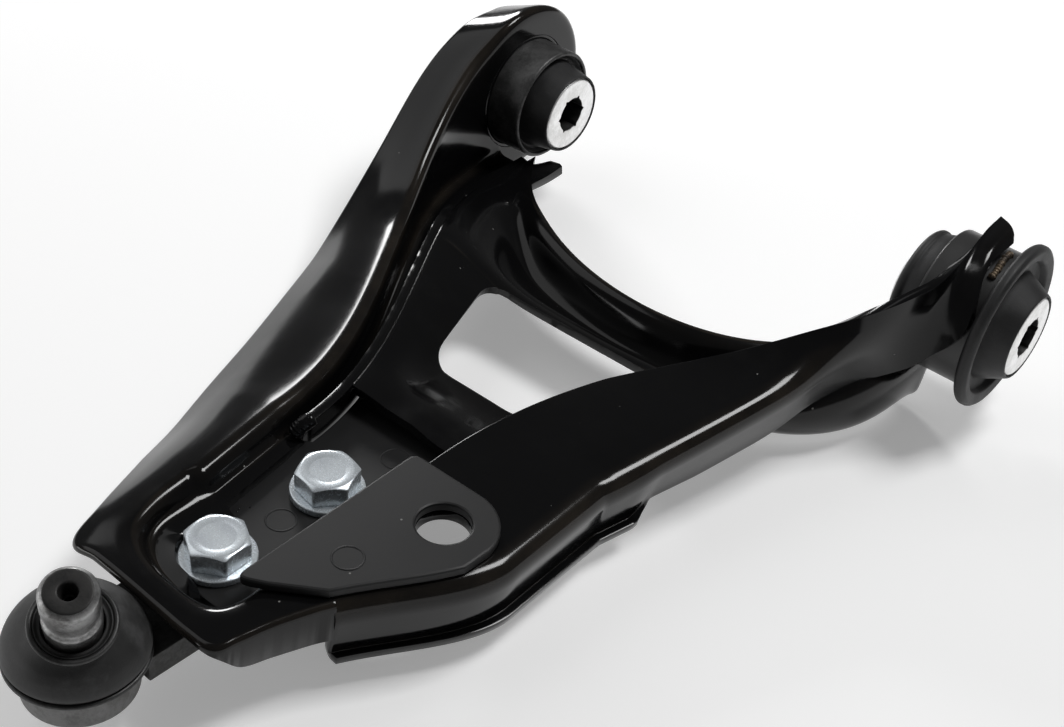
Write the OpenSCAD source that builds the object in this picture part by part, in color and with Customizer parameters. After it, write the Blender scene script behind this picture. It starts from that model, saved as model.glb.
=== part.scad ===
// Front lower control arm: a wishbone welded from steel pressings, with two rubber
// pivot bushes, a bolted ball joint and a bracket for the anti-roll-bar link.
// X runs along the pivot axis towards the front bush, Y outboard to the ball joint, Z up.
// The origin is the centre of the front bush.

/* [Arm layout] */
// Distance between the centres of the two pivot bushes
pivot_pitch = 180; // [165:1:200]
// Distance from the pivot axis to the centre of the ball
ball_reach = 270; // [262:1:285]
// How far the ball sits behind the front bush
ball_setback = 81; // [77:1:85]
// Height of the ball centre below the pivot axis
ball_drop = 17; // [15:1:19]
// Thickness of the leg and pan pressings
sheet = 3; // [2.4:0.1:3.6]
// Height of the flat top deck below the pivot axis
deck_drop = 6.5; // [5:0.5:8]
// Depth of the sides of the pressings below the deck
side_depth = 20.5; // [17:0.5:24]

/* [Front leg] */
// Length of the flat nose beyond the outer clamp bolt
nose_length = 25; // [22:0.5:25.5]
// Drop of the sloping outer flank below the deck
flank_drop = 14; // [10:0.5:18]
// Depth of the groove pressed along the leg
groove_depth = 12; // [8:0.5:14]
// Sideways sweep of the leg between the nose and the front eye
leg_sweep = 62; // [54:1:70]
// Radius of the rim around the front eye
eye_rim_r = 31; // [29:0.5:34]
// Depth of the dished front eye along the pivot axis
eye_depth = 17; // [14:0.5:20]

/* [Pan and cross member] */
// Window width along the pivot axis, at its wide side
window_w = 74; // [60:1:80]
// Window height, from the cross member to the bridge
window_h = 45; // [36:1:48]
// Corner radius of the window
window_r = 7; // [4:0.5:10]
// Depth of the cross member's channel
channel_depth = 16.5; // [12:0.5:18]

/* [Rear leg] */
// Width of the turned-out lip along the side wall
lip_w = 4; // [2:0.5:6]
// Wall of the rear eye tube
eye_tube_wall = 2.5; // [2:0.1:3.5]
// Length of the rear eye tube
eye_tube_l = 21; // [18:1:25]

/* [Bushes] */
// Length of a bush inner sleeve
sleeve_l = 42; // [38:1:48]
// Outer diameter of a bush inner sleeve
sleeve_d = 27; // [24:0.5:29]
// Bore of a bush inner sleeve, for a 12 mm bolt
sleeve_bore = 12.2; // [10.2:0.1:14.2]
// Outer diameter of a bush outer shell
shell_d = 40; // [38:0.5:42]
// Wall of a bush outer shell
shell_wall = 1.5; // [1:0.1:2]
// Length of the front bush outer shell
shell_l = 25; // [20:1:28]
// Diameter of the rear bush's end flanges
flange_d = 55; // [50:1:60]

/* [Ball joint] */
// Diameter of the ball
ball_d = 21; // [19:0.5:22]
// Diameter of the stud
stud_d = 14.5; // [13.5:0.5:16]
// Height of the stud's end above the ball centre
stud_h = 34; // [31:0.5:38]
// Lean of the stud towards the rear of the arm, as it lies
lean_back = 15; // [8:1:18]
// Lean of the stud outboard, as it lies
lean_out = 11; // [4:1:14]
// Outer diameter of the ball housing
housing_d = 30; // [28.5:0.5:31]
// Width of the shank that is bolted to the arm
shank_w = 26; // [23:0.5:28]
// Thickness of the shank
shank_t = 8; // [6:0.5:10]
// Largest diameter of the dust boot
boot_d = 37; // [35:0.5:38]

/* [Fasteners] */
// Distance between the two clamp bolts
bolt_pitch = 38; // [34:0.5:42]
// Distance from the ball centre to the outer clamp bolt
bolt_setback = 44; // [42:0.5:47]
// Thread diameter of the clamp bolts
bolt_d = 10; // [8:0.5:10]
// Size across the flats of the clamp bolts and nuts
hex_af = 16; // [15:0.5:17]
// Height of a clamp bolt head
head_h = 6.4; // [5:0.1:7.5]
// Outer diameter of a clamp washer
washer_d = 21; // [19:0.5:22]
// Thickness of a clamp washer
washer_t = 2.1; // [1.6:0.1:2.6]
// Thickness of the clamp plate under the bolt heads
plate_t = 3.5; // [2.5:0.1:4.5]
// Height of a clamp nut
nut_h = 8.4; // [7:0.1:10]

/* [Link bracket] */
// Diameter of the hole for the anti-roll-bar link
link_hole_d = 15; // [12:0.5:17]
// Thickness of the link bracket
bracket_t = 3; // [2.4:0.1:4]
// Radius of the bracket's round end
bracket_r = 15; // [13:0.5:17]

/* [Hidden] */
$fn = 64;
// Gap between pieces that are welded or pressed side by side
seam = 0.25;
// Clearance on the radius where one piece turns inside another
running = 0.05;
// Clearance of a clamp bolt in its holes, on the radius
bolt_room = 0.3;

// Heights, measured from the pivot axis
deck_top = -deck_drop;
deck = deck_top - sheet/2;
plate_top = deck_top - head_h - washer_t;
shank_top = plate_top - plate_t;
groove = deck - groove_depth;
pan = deck - 9.5;
side_foot = deck_top - side_depth;

// The shank runs from the ball to the clamp bolts with a slight turn
shank_turn = 3.5;
ball = [-ball_setback, ball_reach, -ball_drop];
function along_shank(d) = [ball.x - d*sin(shank_turn), ball.y - d*cos(shank_turn)];
outer_bolt = along_shank(bolt_setback);
inner_bolt = along_shank(bolt_setback + bolt_pitch);
bolts = [outer_bolt, inner_bolt];
nose_y = outer_bolt.y + nose_length;
rib_end = inner_bolt.y - 10;
bridge_y = rib_end - 21;

// Eyes and bushes
eye_x = 0;
shell_r = shell_d/2;
tube_r = shell_r + eye_tube_wall;
rear_x = -pivot_pitch;

// Smooth steps and curves
function ease(t) = let (u = min(1, max(0, t))) u*u*(3 - 2*u);
function ramp(y, from, to) = ease((y - from)/(to - from));
function clip(t) = min(1, max(0, t));
function blend(a, b, t) = a + (b - a)*t;
function curve(p, t) = p[0]*pow(1 - t, 3) + 3*p[1]*t*pow(1 - t, 2)
    + 3*p[2]*t*t*(1 - t) + p[3]*pow(t, 3);
function unit(v) = v/max(norm(v), 1e-6);
function bend_at(a, b, c, r, steps) =
    let (from = b + unit(a - b)*min(r, norm(a - b)*0.45))
    let (to = b + unit(c - b)*min(r, norm(c - b)*0.45))
    [for (k = [0:steps]) let (t = k/steps) from*pow(1 - t, 2) + b*2*t*(1 - t) + to*t*t];
// Open line with its bends rounded
function bend(p, r, steps = 3) = concat([p[0]],
    [for (i = [1:len(p) - 2]) each bend_at(p[i - 1], p[i], p[i + 1], r, steps)],
    [p[len(p) - 1]]);
// Closed outline with its corners rounded
function soft(p, r, steps = 8) = let (n = len(p))
    [for (i = [0:n - 1]) each bend_at(p[(i + n - 1)%n], p[i], p[(i + 1)%n], r, steps)];

// Solid through a row of closed outlines with the same number of points
module skin(rings, closed = false) {
    n = len(rings[0]);
    m = len(rings);
    sides = [for (j = [0:closed ? m - 1 : m - 2]) for (i = [0:n - 1])
        let (a = j*n + i, b = j*n + (i + 1)%n)
        let (d = ((j + 1)%m)*n + i, c = ((j + 1)%m)*n + (i + 1)%n)
        each [[a, c, b], [a, d, c]]];
    // The end of a sheet is a strip between its two faces
    e = (m - 1)*n;
    ends = closed ? [] : [for (i = [0:n/2 - 2])
        let (b = i + 1, c = n - 2 - i, d = n - 1 - i)
        each [[i, c, d], [i, b, c], [e + i, e + c, e + b], [e + i, e + d, e + c]]];
    polyhedron([for (r = rings) each r], concat(sides, ends), convexity = 8);
}

// Pressed sheet of even thickness about a grid of points on its middle face
module pressed(grid, t) {
    m = len(grid) - 1;
    n = len(grid[0]) - 1;
    face = [for (j = [0:m]) [for (i = [0:n])
        unit(cross(grid[j][min(n, i + 1)] - grid[j][max(0, i - 1)],
            grid[min(m, j + 1)][i] - grid[max(0, j - 1)][i]))*t/2]];
    skin([for (j = [0:m]) concat([for (i = [0:n]) grid[j][i] + face[j][i]],
        [for (i = [n:-1:0]) grid[j][i] - face[j][i]])]);
}

// Turns a solid of revolution from the Z axis to the pivot axis
module on_pivot(x) translate([x, 0, 0]) rotate([0, 90, 0]) children();

module revolve(profile) rotate_extrude($fn = 96) polygon(profile);

module stud_frame() translate(ball) rotate([-lean_out, -lean_back, 0]) children();

module at_bolts(z) for (b = bolts) translate([b.x, b.y, z]) children();

module rounded(x0, y0, x1, y1, r) {
    translate([x0 + r, y0]) square([x1 - x0 - 2*r, y1 - y0]);
    translate([x0, y0 + r]) square([x1 - x0, y1 - y0 - 2*r]);
    for (x = [x0 + r, x1 - r]) for (y = [y0 + r, y1 - r]) translate([x, y]) circle(r);
}

// Front leg: flank, crest, groove and rib at a distance y outboard of the pivot axis
eye_end = eye_x + eye_depth;
sweep_end = bridge_y + 23;
function crest_x(y) = 4 - leg_sweep*ramp(y, 20, sweep_end) - 0.12*max(0, y - sweep_end);
function crest_z(y) = deck + 1.5 - 0.6*ramp(y, rib_end, nose_y - 10) + 26*ramp(-y, -90, -10);
function wall_x(y) = crest_x(y) - 1.2 - 1.4*ramp(-y, -60, -26) - 2.8*ramp(y, rib_end - 15, rib_end + 10);
function wall_face(y) = wall_x(y) - sheet/2;
recess_r = 11;
recess_end = nose_y - sheet;
recess_x1 = wall_face(recess_end - recess_r) + 1.2;
recess_x0 = recess_x1 - 37.7;
corner_x = recess_x1 + 12.8;
function flank_line(y) = blend(eye_end + 7, corner_x, (y - 43)/(nose_y - 43))
    + 4*sin(180*clip((y - 110)/(nose_y - 110)));
function flank_x(y) = y > 84 ? flank_line(y)
    : blend(eye_end + 3, flank_line(84), pow(clip((y - 14)/70), 1.35));
function flank_z(y) = deck - flank_drop + 12*ramp(y, rib_end + 12, nose_y) + 46*ramp(-y, -110, -2);
function rib_x(y) = -13 - (leg_sweep - 8)*ramp(y, 25, rib_end + 2) - 4*ramp(y, rib_end, rib_end + 20)
    - 0.12*max(0, y - sweep_end);
function rib_z(y) = deck_top - 0.5 - 9*ramp(-y, -80, -20);
function groove_z(y) = groove + 1 - 3*ramp(-y, -80, -30) + 3.5*ramp(y, rib_end - 8, rib_end + 8);
function leg_line(y) = [
    [flank_x(y), y, flank_z(y)],
    [blend(flank_x(y), crest_x(y), 0.5), y, blend(flank_z(y), crest_z(y), 0.6)],
    [crest_x(y), y, crest_z(y)],
    [wall_x(y), y, groove_z(y)],
    [rib_x(y) + 1.2, y, groove_z(y)],
    [rib_x(y), y, rib_z(y)]];
leg_rows = [for (i = [0:28]) blend(nose_y - 3, 12, i/28)];

module recess_plan() rounded(recess_x0, rib_end - 40, recess_x1, recess_end, recess_r);

// Dished eye: a web, a drawn collar for the bush and a turned-back rim
module front_eye() on_pivot(eye_x) revolve([
    [shell_r + seam/5, -0.5], [eye_rim_r - 1, -0.5], [eye_rim_r, 0.5], [eye_rim_r - 4, eye_depth],
    [eye_rim_r - 4 - sheet, eye_depth], [eye_rim_r - sheet - 0.2, sheet + 0.5],
    [shell_r + sheet + 1.5, sheet + 0.5], [shell_r + sheet, sheet + 2],
    [shell_r + sheet, eye_depth - 4], [shell_r + seam/5, eye_depth - 4]]);

// Flat nose around the recess, with the drawn wall of the recess and the side wall
side_x = recess_x0 - 5;
joint_y = nose_y - 29;
joint_x = side_x - 5.5;
module nose() difference() {
    union() {
        translate([0, 0, deck_top - sheet]) linear_extrude(sheet) difference() {
            polygon([[crest_x(nose_y - 16), nose_y - 16], [corner_x - 4, nose_y - 4],
                [corner_x - 7, nose_y], [side_x + 3, nose_y + 1], [side_x, nose_y - 2],
                [joint_x, joint_y], [recess_x0 - 1, joint_y], [recess_x0 + 9, nose_y - 16]]);
            recess_plan();
        }
        translate([0, 0, shank_top + seam]) linear_extrude(deck - shank_top - seam) difference() {
            rounded(recess_x0 - sheet, nose_y - 60, recess_x1 + sheet, nose_y - 0.5, recess_r + sheet);
            recess_plan();
            translate([recess_x0 - 20, 0]) square([100, joint_y]);
            translate([recess_x0 + 8, 0]) square([100, nose_y - 16]);
        }
        translate([0, 0, deck - 11]) linear_extrude(11) polygon([
            [side_x, nose_y - 2], [joint_x, joint_y], [joint_x + sheet, joint_y],
            [side_x + sheet, nose_y - 2]]);
    }
    // Sheared corner of the side wall
    translate([side_x - 20, nose_y, deck_top - 5]) rotate([40, 0, 0])
        translate([0, -20, -40]) cube([40, 40, 40]);
}

module front_leg() color("#161617") {
    difference() {
        pressed([for (y = leg_rows) bend(leg_line(y), 5, 4)], sheet);
        translate([0, 0, -60]) linear_extrude(100)
            polygon(concat([for (y = [rib_end:6:nose_y + 4]) [wall_face(y) - 1.6, y]],
                [[recess_x0, nose_y + 4], [recess_x0, rib_end]]));
        on_pivot(-60) cylinder(r = shell_r + sheet - 1, h = 120);
    }
    front_eye();
    nose();
}

// Inner pan: bridge, floor around the window and the channel of the cross member
link_hole = [recess_x0 - 17.5, inner_bolt.y - 4];
outer_rim = [[-22, 10], [-45, 68], [rear_x + 35, 77], [rear_x + 25, 9]];
inner_rim = [[rib_x(78) - 2.5, 78], [-70, 72], [rear_x - 4, 100], [rear_x + 7, 17]];
function pan_z(z, y, v) = blend(rib_z(y) - sheet/2, z, ease(v/0.22));
function low_z(y) = side_foot + 4 + 8*clip((100 - y)/90);
// A point across the channel; its front end stays beside the rib
function channel(v, t, z) =
    let (p = blend(curve(inner_rim, v), curve(outer_rim, v), t))
    let (q = blend(inner_rim[0], outer_rim[0], t))
    [p.x + (rib_x(q.y) - 2.5 - q.x)*pow(1 - v, 3), p.y, pan_z(z, q.y, v)];
function pan_line(v) =
    let (r = curve(inner_rim, v), e = ease(v/0.25), late = ramp(v, 0.5, 0.68))
    let (floor = pan - channel_depth*e*(0.6 + 0.4*ramp(v, 0.5, 0.75)))
    let (shelf = blend(pan + 1, low_z(r.y) - sheet - 0.8, late))
    let (x1 = blend(rib_x(bridge_y) - 2.5, link_hole.x - 10, v))
    let (x2 = blend(rib_x(bridge_y - 26) - 2.5, link_hole.x - 11, v))
    let (top = deck - 1.5 - (sheet - 1.1)*ramp(v, 0.3, 0.47))
    [[x1, bridge_y, pan_z(top, bridge_y, v)],
    [x1, bridge_y - 10, pan_z(top, bridge_y - 10, v)],
    [x2, bridge_y - 26, pan_z(pan, bridge_y - 26, v)],
    [blend(r.x, x2, 0.1), r.y + 6, pan_z(blend(pan, shelf, late), 84, v)],
    channel(v, 0, shelf),
    channel(v, blend(0.3, 0.1, late), floor),
    channel(v, 0.66, floor),
    channel(v, 0.86, pan + 3*e),
    channel(v, 1, pan + 2*e)];
window_x = -53;
window_y = 81;
window = soft([[window_x, window_y], [window_x - 14, window_y + window_h],
    [window_x - 14 - window_w*0.54, window_y + window_h], [window_x - window_w, window_y]], window_r);

module inner_pan() color("#141415") difference() {
    pressed([for (i = [0:24]) bend(pan_line(i/24), 4)], sheet);
    translate([0, 0, -60]) linear_extrude(100) polygon(window);
    on_pivot(-100) cylinder(r = shell_r + seam, h = 200);
}

// Rear leg: deck, side wall and turned-out lip, twisting to a plate at the rear eye
function crease_x(y) = rear_x + 2 + 0.235*min(y, 140) + 28*ramp(y, link_hole.y - 6, joint_y + 17);
function crease_z(y) = deck + 13*clip((135 - y)/135);
function inner_x(y) = recess_x0 + 3 - (pivot_pitch - 105)*pow(clip((165 - y)/153), 2)
    - 10.5*sin(180*pow(clip((100 - y)/90), 1.3));
function inner_z(y) = deck + 36.5*pow(clip((100 - y)/95), 1.6);
function foot_z(y) = blend(side_foot, low_z(y) + 3, ramp(-y, -128, -118));
function inner_edge(y) = let (q = y - 20*ramp(-y, -75, -8)) [inner_x(q), q, inner_z(q)];
function rear_line(y) = let (foot = [crease_x(y) + lip_w, y, foot_z(y)])
    [inner_edge(y), [crease_x(y), y, crease_z(y)], foot,
    foot + blend([0.5, 0, -3], [-lip_w, 0, -0.8], ramp(y, 119, 127))];
rear_rows = [for (i = [0:34]) blend(joint_y - seam, 8, i/34)];

module rear_leg() color("#151516") difference() {
    pressed([for (y = rear_rows) bend(rear_line(y), 5)], sheet);
    on_pivot(-400) cylinder(r = tube_r + seam, h = 300);
    translate([link_hole.x, link_hole.y, -60]) cylinder(d = link_hole_d, h = 100);
}

bracket_tip = [recess_x0 + 7.5, nose_y - 16];
bracket_corner = [recess_x0 + 6.5, link_hole.y - bracket_r];
bracket_tail = [recess_x0, nose_y - 20];

module link_bracket() color("#1a1a1b") translate([0, 0, deck_top]) linear_extrude(bracket_t)
    difference() {
        polygon(concat(bend_at(bracket_tail, bracket_tip, bracket_corner, 4, 6),
            bend_at(bracket_tip, bracket_corner, link_hole - [0, bracket_r], 3, 6),
            [for (a = [270:-6:180]) link_hole + bracket_r*[cos(a), sin(a)]],
            [for (y = [link_hole.y + 8:6:joint_y]) [crease_x(y) + 2.5, y]], [bracket_tail]));
        translate(link_hole) circle(d = link_hole_d);
    }

module clamp_plate() color("#2b2b2c") translate([0, 0, shank_top]) difference() {
    linear_extrude(plate_t) polygon(concat(
        [for (y = [nose_y - 17:-7:rib_end + seam]) [wall_face(y) - 1.6 - seam, y]],
        [for (y = [rib_end + seam, bridge_y + 2]) [rib_x(y) - sheet - seam, y]],
        [[recess_x0 + seam, bridge_y + 2], [recess_x0 + seam, nose_y - 17]]));
    for (b = bolts) translate([b.x, b.y, -1]) cylinder(d = bolt_d + 2*bolt_room, h = plate_t + 2);
}

module rear_eye_tube() color("#1b1a19") on_pivot(rear_x - eye_tube_l/2) revolve([
    [shell_r + seam/5, 0], [tube_r - 0.6, 0], [tube_r, 0.6], [tube_r, eye_tube_l - 0.6],
    [tube_r - 0.6, eye_tube_l], [shell_r + seam/5, eye_tube_l]]);

// Bush pieces, drawn about the middle of a bush
module bush_shell(l) revolve([[inside_r, -l/2], [shell_r - 0.5, -l/2], [shell_r, 0.5 - l/2],
    [shell_r, l/2 - 0.5], [shell_r - 0.5, l/2], [inside_r, l/2]]);

module bush_sleeve() revolve([[sleeve_bore/2, -sleeve_l/2], [sleeve_d/2 - 0.8, -sleeve_l/2],
    [sleeve_d/2, 0.8 - sleeve_l/2], [sleeve_d/2, sleeve_l/2 - 0.8], [sleeve_d/2 - 0.8, sleeve_l/2],
    [sleeve_bore/2, sleeve_l/2]]);

sleeve_r = sleeve_d/2 + running;
inside_r = shell_r - shell_wall;
bond_r = inside_r - seam/5;
rubber_end = sleeve_l/2 - 1;

module front_bush_shell() color("#2a2a2b") on_pivot(0) bush_shell(shell_l);

module front_bush_rubber() color("#111111") on_pivot(0) revolve([
    [sleeve_r, -rubber_end], [sleeve_r + 0.6, -rubber_end], [sleeve_r + 2.4, 1 - shell_l/2],
    [sleeve_r + 2.8, 3 - shell_l/2], [bond_r - 1.2, 2.4 - shell_l/2], [bond_r, 0.8 - shell_l/2],
    [bond_r, shell_l/2 - 0.8], [bond_r - 1.2, shell_l/2 - 2.4], [sleeve_r + 2.8, shell_l/2 - 3],
    [sleeve_r + 2.4, shell_l/2 - 1], [sleeve_r + 0.6, rubber_end], [sleeve_r, rubber_end]]);

module front_bush_sleeve() color("#b9bbbd") on_pivot(0) bush_sleeve();

module rear_bush_shell() color("#2a2a2b") on_pivot(rear_x) bush_shell(eye_tube_l);

tube_end = eye_tube_l/2 + seam;
front_flange_r = tube_r - 2;
module rear_bush_rubber() color("#121212") on_pivot(rear_x) revolve([
    [sleeve_r, -rubber_end], [sleeve_r + 0.6, -rubber_end], [sleeve_r + 3, -tube_end - 2],
    [sleeve_r + 4, -tube_end - 0.8], [flange_d/2 - 5.5, -tube_end - 1.2],
    [flange_d/2 - 4, -tube_end - 3.8], [flange_d/2 - 1.2, -tube_end - 4.2],
    [flange_d/2, -tube_end - 3], [flange_d/2, -tube_end - 1], [flange_d/2 - 1, -tube_end],
    [bond_r, -tube_end], [bond_r, tube_end], [shell_r - 0.5, tube_end], [shell_r - 1, tube_end + 2.5],
    [front_flange_r - 0.6, tube_end + 5], [front_flange_r, tube_end + 5.8],
    [front_flange_r, tube_end + 7], [front_flange_r - 1, tube_end + 8],
    [sleeve_r + 3, tube_end + 8.5], [sleeve_r, tube_end + 9]]);

module rear_bush_sleeve() color("#b9bbbd") on_pivot(rear_x) bush_sleeve();

// Ball joint, drawn about the ball centre
ball_r = ball_d/2;
housing_r = housing_d/2;
cup_r = ball_r + 2;
cup_foot = -ball_r - 0.2;
cap_t = 1.5;
housing_foot = cup_foot - cap_t - 0.4;
housing_top = 5;
neck_r = stud_d*0.375;
lip_l = stud_h/2;

module ball_joint_housing() color("#262626") difference() {
    union() {
        translate(ball) cylinder(r = housing_r, h = housing_top);
        translate([ball.x, ball.y, ball.z + housing_foot + 1.2])
            cylinder(r = housing_r, h = -housing_foot);
        translate([ball.x, ball.y, ball.z + housing_foot])
            cylinder(r1 = housing_r - 1.2, r2 = housing_r, h = 1.2);
        translate([0, 0, shank_top - shank_t]) linear_extrude(shank_t) shank_plan();
    }
    translate([ball.x, ball.y, ball.z + housing_foot - 1])
        cylinder(r = cup_r + running, h = 4 - housing_foot + 1);
    translate([ball.x, ball.y, ball.z + 4 - 0.01])
        cylinder(r1 = cup_r - 1.4, r2 = cup_r + 0.4, h = housing_top - 4 + 0.02);
    at_bolts(shank_top - shank_t - 1) cylinder(d = bolt_d + 2*bolt_room, h = shank_t + 2);
}

module shank_plan() translate([ball.x, ball.y]) rotate(-shank_turn) {
    length = bolt_setback + bolt_pitch;
    translate([0, -length]) circle(shank_w/2);
    translate([-shank_w/2, -length]) square([shank_w, length]);
}

module ball_seat() color("#d8d6cf") translate(ball) difference() {
    translate([0, 0, cup_foot]) cylinder(r = cup_r, h = 4 - cup_foot);
    sphere(ball_r + running, $fn = 96);
}

module ball_joint_cap() color("#3a3a3b") translate([ball.x, ball.y, ball.z + cup_foot - cap_t - running])
    cylinder(r = cup_r, h = cap_t);

module ball_stud() color("#4a4744") stud_frame() difference() {
    union() {
        sphere(ball_r, $fn = 96);
        revolve([[0, 0], [neck_r, 0], [neck_r, ball_r], [stud_d/2 - 0.2, ball_r + 4],
            [stud_d/2 - 0.2, lip_l + 0.5], [stud_d/2, lip_l + 0.7], [stud_d/2, lip_l + 4],
            [stud_d/2 - 0.9, lip_l + 5], [stud_d/2 - 0.9, lip_l + 9], [stud_d/2, lip_l + 10],
            [stud_d/2, stud_h - 1.5], [stud_d/2 - 1.5, stud_h], [0, stud_h]]);
    }
    translate([0, 0, stud_h - 5]) cylinder(r1 = 1.6, r2 = 2.3, h = 5.01);
}

// Boot: level where it grips the housing, square to the stud at its lip
boot_r = boot_d/2;
grip_r = housing_r + 0.4;
lip_r = stud_d/2 + 0.3;
foot_r = grip_r + 1.4;
boot_wall = [[grip_r, -1, 0], [foot_r, -1, 0], [foot_r, 0.9, 0], [boot_r - 0.8, 1.1, 0],
    [boot_r - 0.1, 2, 0], [boot_r - 0.2, 4.2, 0.05], [boot_r - 1.4, 7.5, 0.2], [boot_r - 3.5, 10.6, 0.45],
    [boot_r - 6.2, 13.2, 0.7], [lip_r + 2.4, lip_l - 1.8, 0.95], [lip_r + 1.7, lip_l - 0.8, 1],
    [lip_r + 1.5, lip_l, 1], [lip_r, lip_l, 1], [lip_r, lip_l - 2, 1], [lip_r + 1, lip_l - 3.6, 0.95],
    [boot_r - 8, 11.4, 0.7], [boot_r - 5.2, 9.2, 0.45], [boot_r - 3.2, 6.6, 0.2],
    [boot_r - 2.2, 4.2, 0.05], [boot_r - 2.2, 2.6, 0], [grip_r, 1.8, 0]];
function lean(p, s) = let (a = -lean_out*s, b = -lean_back*s)
    let (q = [p.x, p.y*cos(a) - p.z*sin(a), p.y*sin(a) + p.z*cos(a)])
    ball + [q.x*cos(b) + q.z*sin(b), q.y, q.z*cos(b) - q.x*sin(b)];

module dust_boot() color("#1c1c1d") skin([for (k = [0:47]) let (a = -k*7.5)
    [for (p = boot_wall) lean([p[0]*cos(a), p[0]*sin(a), p[1]], p[2])]], closed = true);

module boot_base_ring() color("#6b6b6b") translate(ball)
    rotate_extrude() translate([foot_r + 1, 0]) circle(0.7);

module boot_neck_ring() color("#9a9a9a") stud_frame() translate([0, 0, lip_l - 0.5])
    rotate_extrude() translate([lip_r + 2.7, 0]) circle(0.7);

// Clamp bolts, washers and nuts
module hexagon(h) intersection() {
    cylinder(d = hex_af/cos(30), h = h, $fn = 6);
    revolve([[0, 0], [hex_af*0.62, 0], [hex_af*0.62, h - hex_af*0.09], [hex_af*0.46, h], [0, h]]);
}

bolt_l = washer_t + plate_t + shank_t + nut_h + 2.5;
module bolt() {
    hexagon(head_h);
    translate([0, 0, -bolt_l]) revolve([[0, 0], [bolt_d/2 - 1, 0], [bolt_d/2, 1], [bolt_d/2, bolt_l + 0.5],
        [0, bolt_l + 0.5]]);
}

module outer_clamp_bolt() color("#c8cacc")
    translate([outer_bolt.x, outer_bolt.y, plate_top + washer_t]) bolt();

module inner_clamp_bolt() color("#c8cacc") translate([inner_bolt.x, inner_bolt.y, plate_top + washer_t])
    rotate(20) bolt();

module clamp_washers() color("#cfd1d2") at_bolts(plate_top) revolve([
    [bolt_d/2 + bolt_room, 0], [washer_d/2, 0], [washer_d/2, washer_t - 0.4],
    [washer_d/2 - 0.4, washer_t], [bolt_d/2 + bolt_room, washer_t]]);

module clamp_nuts() color("#c4c6c8") at_bolts(shank_top - shank_t - nut_h) difference() {
    hexagon(nut_h);
    translate([0, 0, -1]) cylinder(d = bolt_d + 2*running, h = nut_h + 2);
}

front_leg();
inner_pan();
rear_leg();
link_bracket();
clamp_plate();
rear_eye_tube();
front_bush_shell();
front_bush_rubber();
front_bush_sleeve();
rear_bush_shell();
rear_bush_rubber();
rear_bush_sleeve();
ball_joint_housing();
ball_seat();
ball_joint_cap();
ball_stud();
dust_boot();
boot_base_ring();
boot_neck_ring();
outer_clamp_bolt();
inner_clamp_bolt();
clamp_washers();
clamp_nuts();
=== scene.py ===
import math
import bmesh
import bpy
import numpy as np
from mathutils import Matrix, Vector


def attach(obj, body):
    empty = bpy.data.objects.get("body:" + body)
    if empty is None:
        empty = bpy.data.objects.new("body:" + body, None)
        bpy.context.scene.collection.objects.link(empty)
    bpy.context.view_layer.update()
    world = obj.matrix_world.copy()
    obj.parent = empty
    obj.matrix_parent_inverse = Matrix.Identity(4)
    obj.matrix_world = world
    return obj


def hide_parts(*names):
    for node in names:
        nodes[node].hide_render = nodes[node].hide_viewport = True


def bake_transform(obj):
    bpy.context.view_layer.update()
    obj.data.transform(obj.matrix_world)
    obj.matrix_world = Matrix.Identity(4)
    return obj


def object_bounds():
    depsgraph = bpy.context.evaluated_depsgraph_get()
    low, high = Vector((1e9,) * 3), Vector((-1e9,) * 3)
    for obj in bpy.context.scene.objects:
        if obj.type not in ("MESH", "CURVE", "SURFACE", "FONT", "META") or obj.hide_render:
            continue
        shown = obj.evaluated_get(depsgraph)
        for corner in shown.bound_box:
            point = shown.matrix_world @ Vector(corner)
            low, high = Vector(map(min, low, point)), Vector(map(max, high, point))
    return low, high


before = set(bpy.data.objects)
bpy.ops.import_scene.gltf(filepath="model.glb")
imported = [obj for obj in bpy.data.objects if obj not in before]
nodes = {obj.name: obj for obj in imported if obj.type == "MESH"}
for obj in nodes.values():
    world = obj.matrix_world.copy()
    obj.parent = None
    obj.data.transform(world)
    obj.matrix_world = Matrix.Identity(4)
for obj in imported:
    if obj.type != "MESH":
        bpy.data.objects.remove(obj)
cadBox = [[float(c) for c in corner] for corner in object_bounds()]
scene = bpy.context.scene
scene.view_settings.view_transform = "Standard"
mm = 0.001
print("frame loaded:", len(nodes), "solids")

# places shared by several pieces, in millimetres: x along the pivot, y outboard, z up
arm = {
    "sheet": 3.0,
    "rearX": -180.0,
    "deckTop": -6.5,
    "sideFoot": -27.0,
    "noseY": 251.082,
    "ribEnd": 178.153,
    "sweepEnd": 180.153,
    "bridgeY": 157.153,
    "recessX": -106.831,
    "plateTop": -15.0,
    "shankTop": -18.5,
    "shankFoot": -26.5,
    "ball": (-81.0, 270.0, -17.0),
    "studLean": (11.0, 15.0),
    "bolts": {"outer": (-83.686, 226.082), "inner": (-86.006, 188.153)},
    "boltHole": 5.3,
    "linkHole": (-124.331, 184.153),
    "linkHoleR": 7.5,
    "shellR": 20.0,
    "tubeR": 22.5,
    "fit": 0.05,
}
deck = arm["deckTop"] - arm["sheet"]/2
ball = np.array(arm["ball"])
leanOut, leanBack = (math.radians(a) for a in arm["studLean"])
boltHoles = [(place, arm["boltHole"]) for place in arm["bolts"].values()]


def ease(t):
    u = np.clip(t, 0, 1)
    return u*u*(3 - 2*u)


def ramp(y, start, stop):
    return ease((y - start)/(stop - start))


def mix(a, b, t):
    return a + (b - a)*t


def stack(*parts):
    return np.stack(np.broadcast_arrays(*parts), -1).astype(float)


# Hermite step between two heights with a slope at each end
def bow(y, y0, z0, slope0, y1, z1, slope1):
    t = np.clip((y - y0)/(y1 - y0), 0, 1)
    d = y1 - y0
    return (z0*(1 + 2*t)*(1 - t)**2 + slope0*d*t*(1 - t)**2
            + z1*t*t*(3 - 2*t) + slope1*d*t*t*(t - 1))


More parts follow.
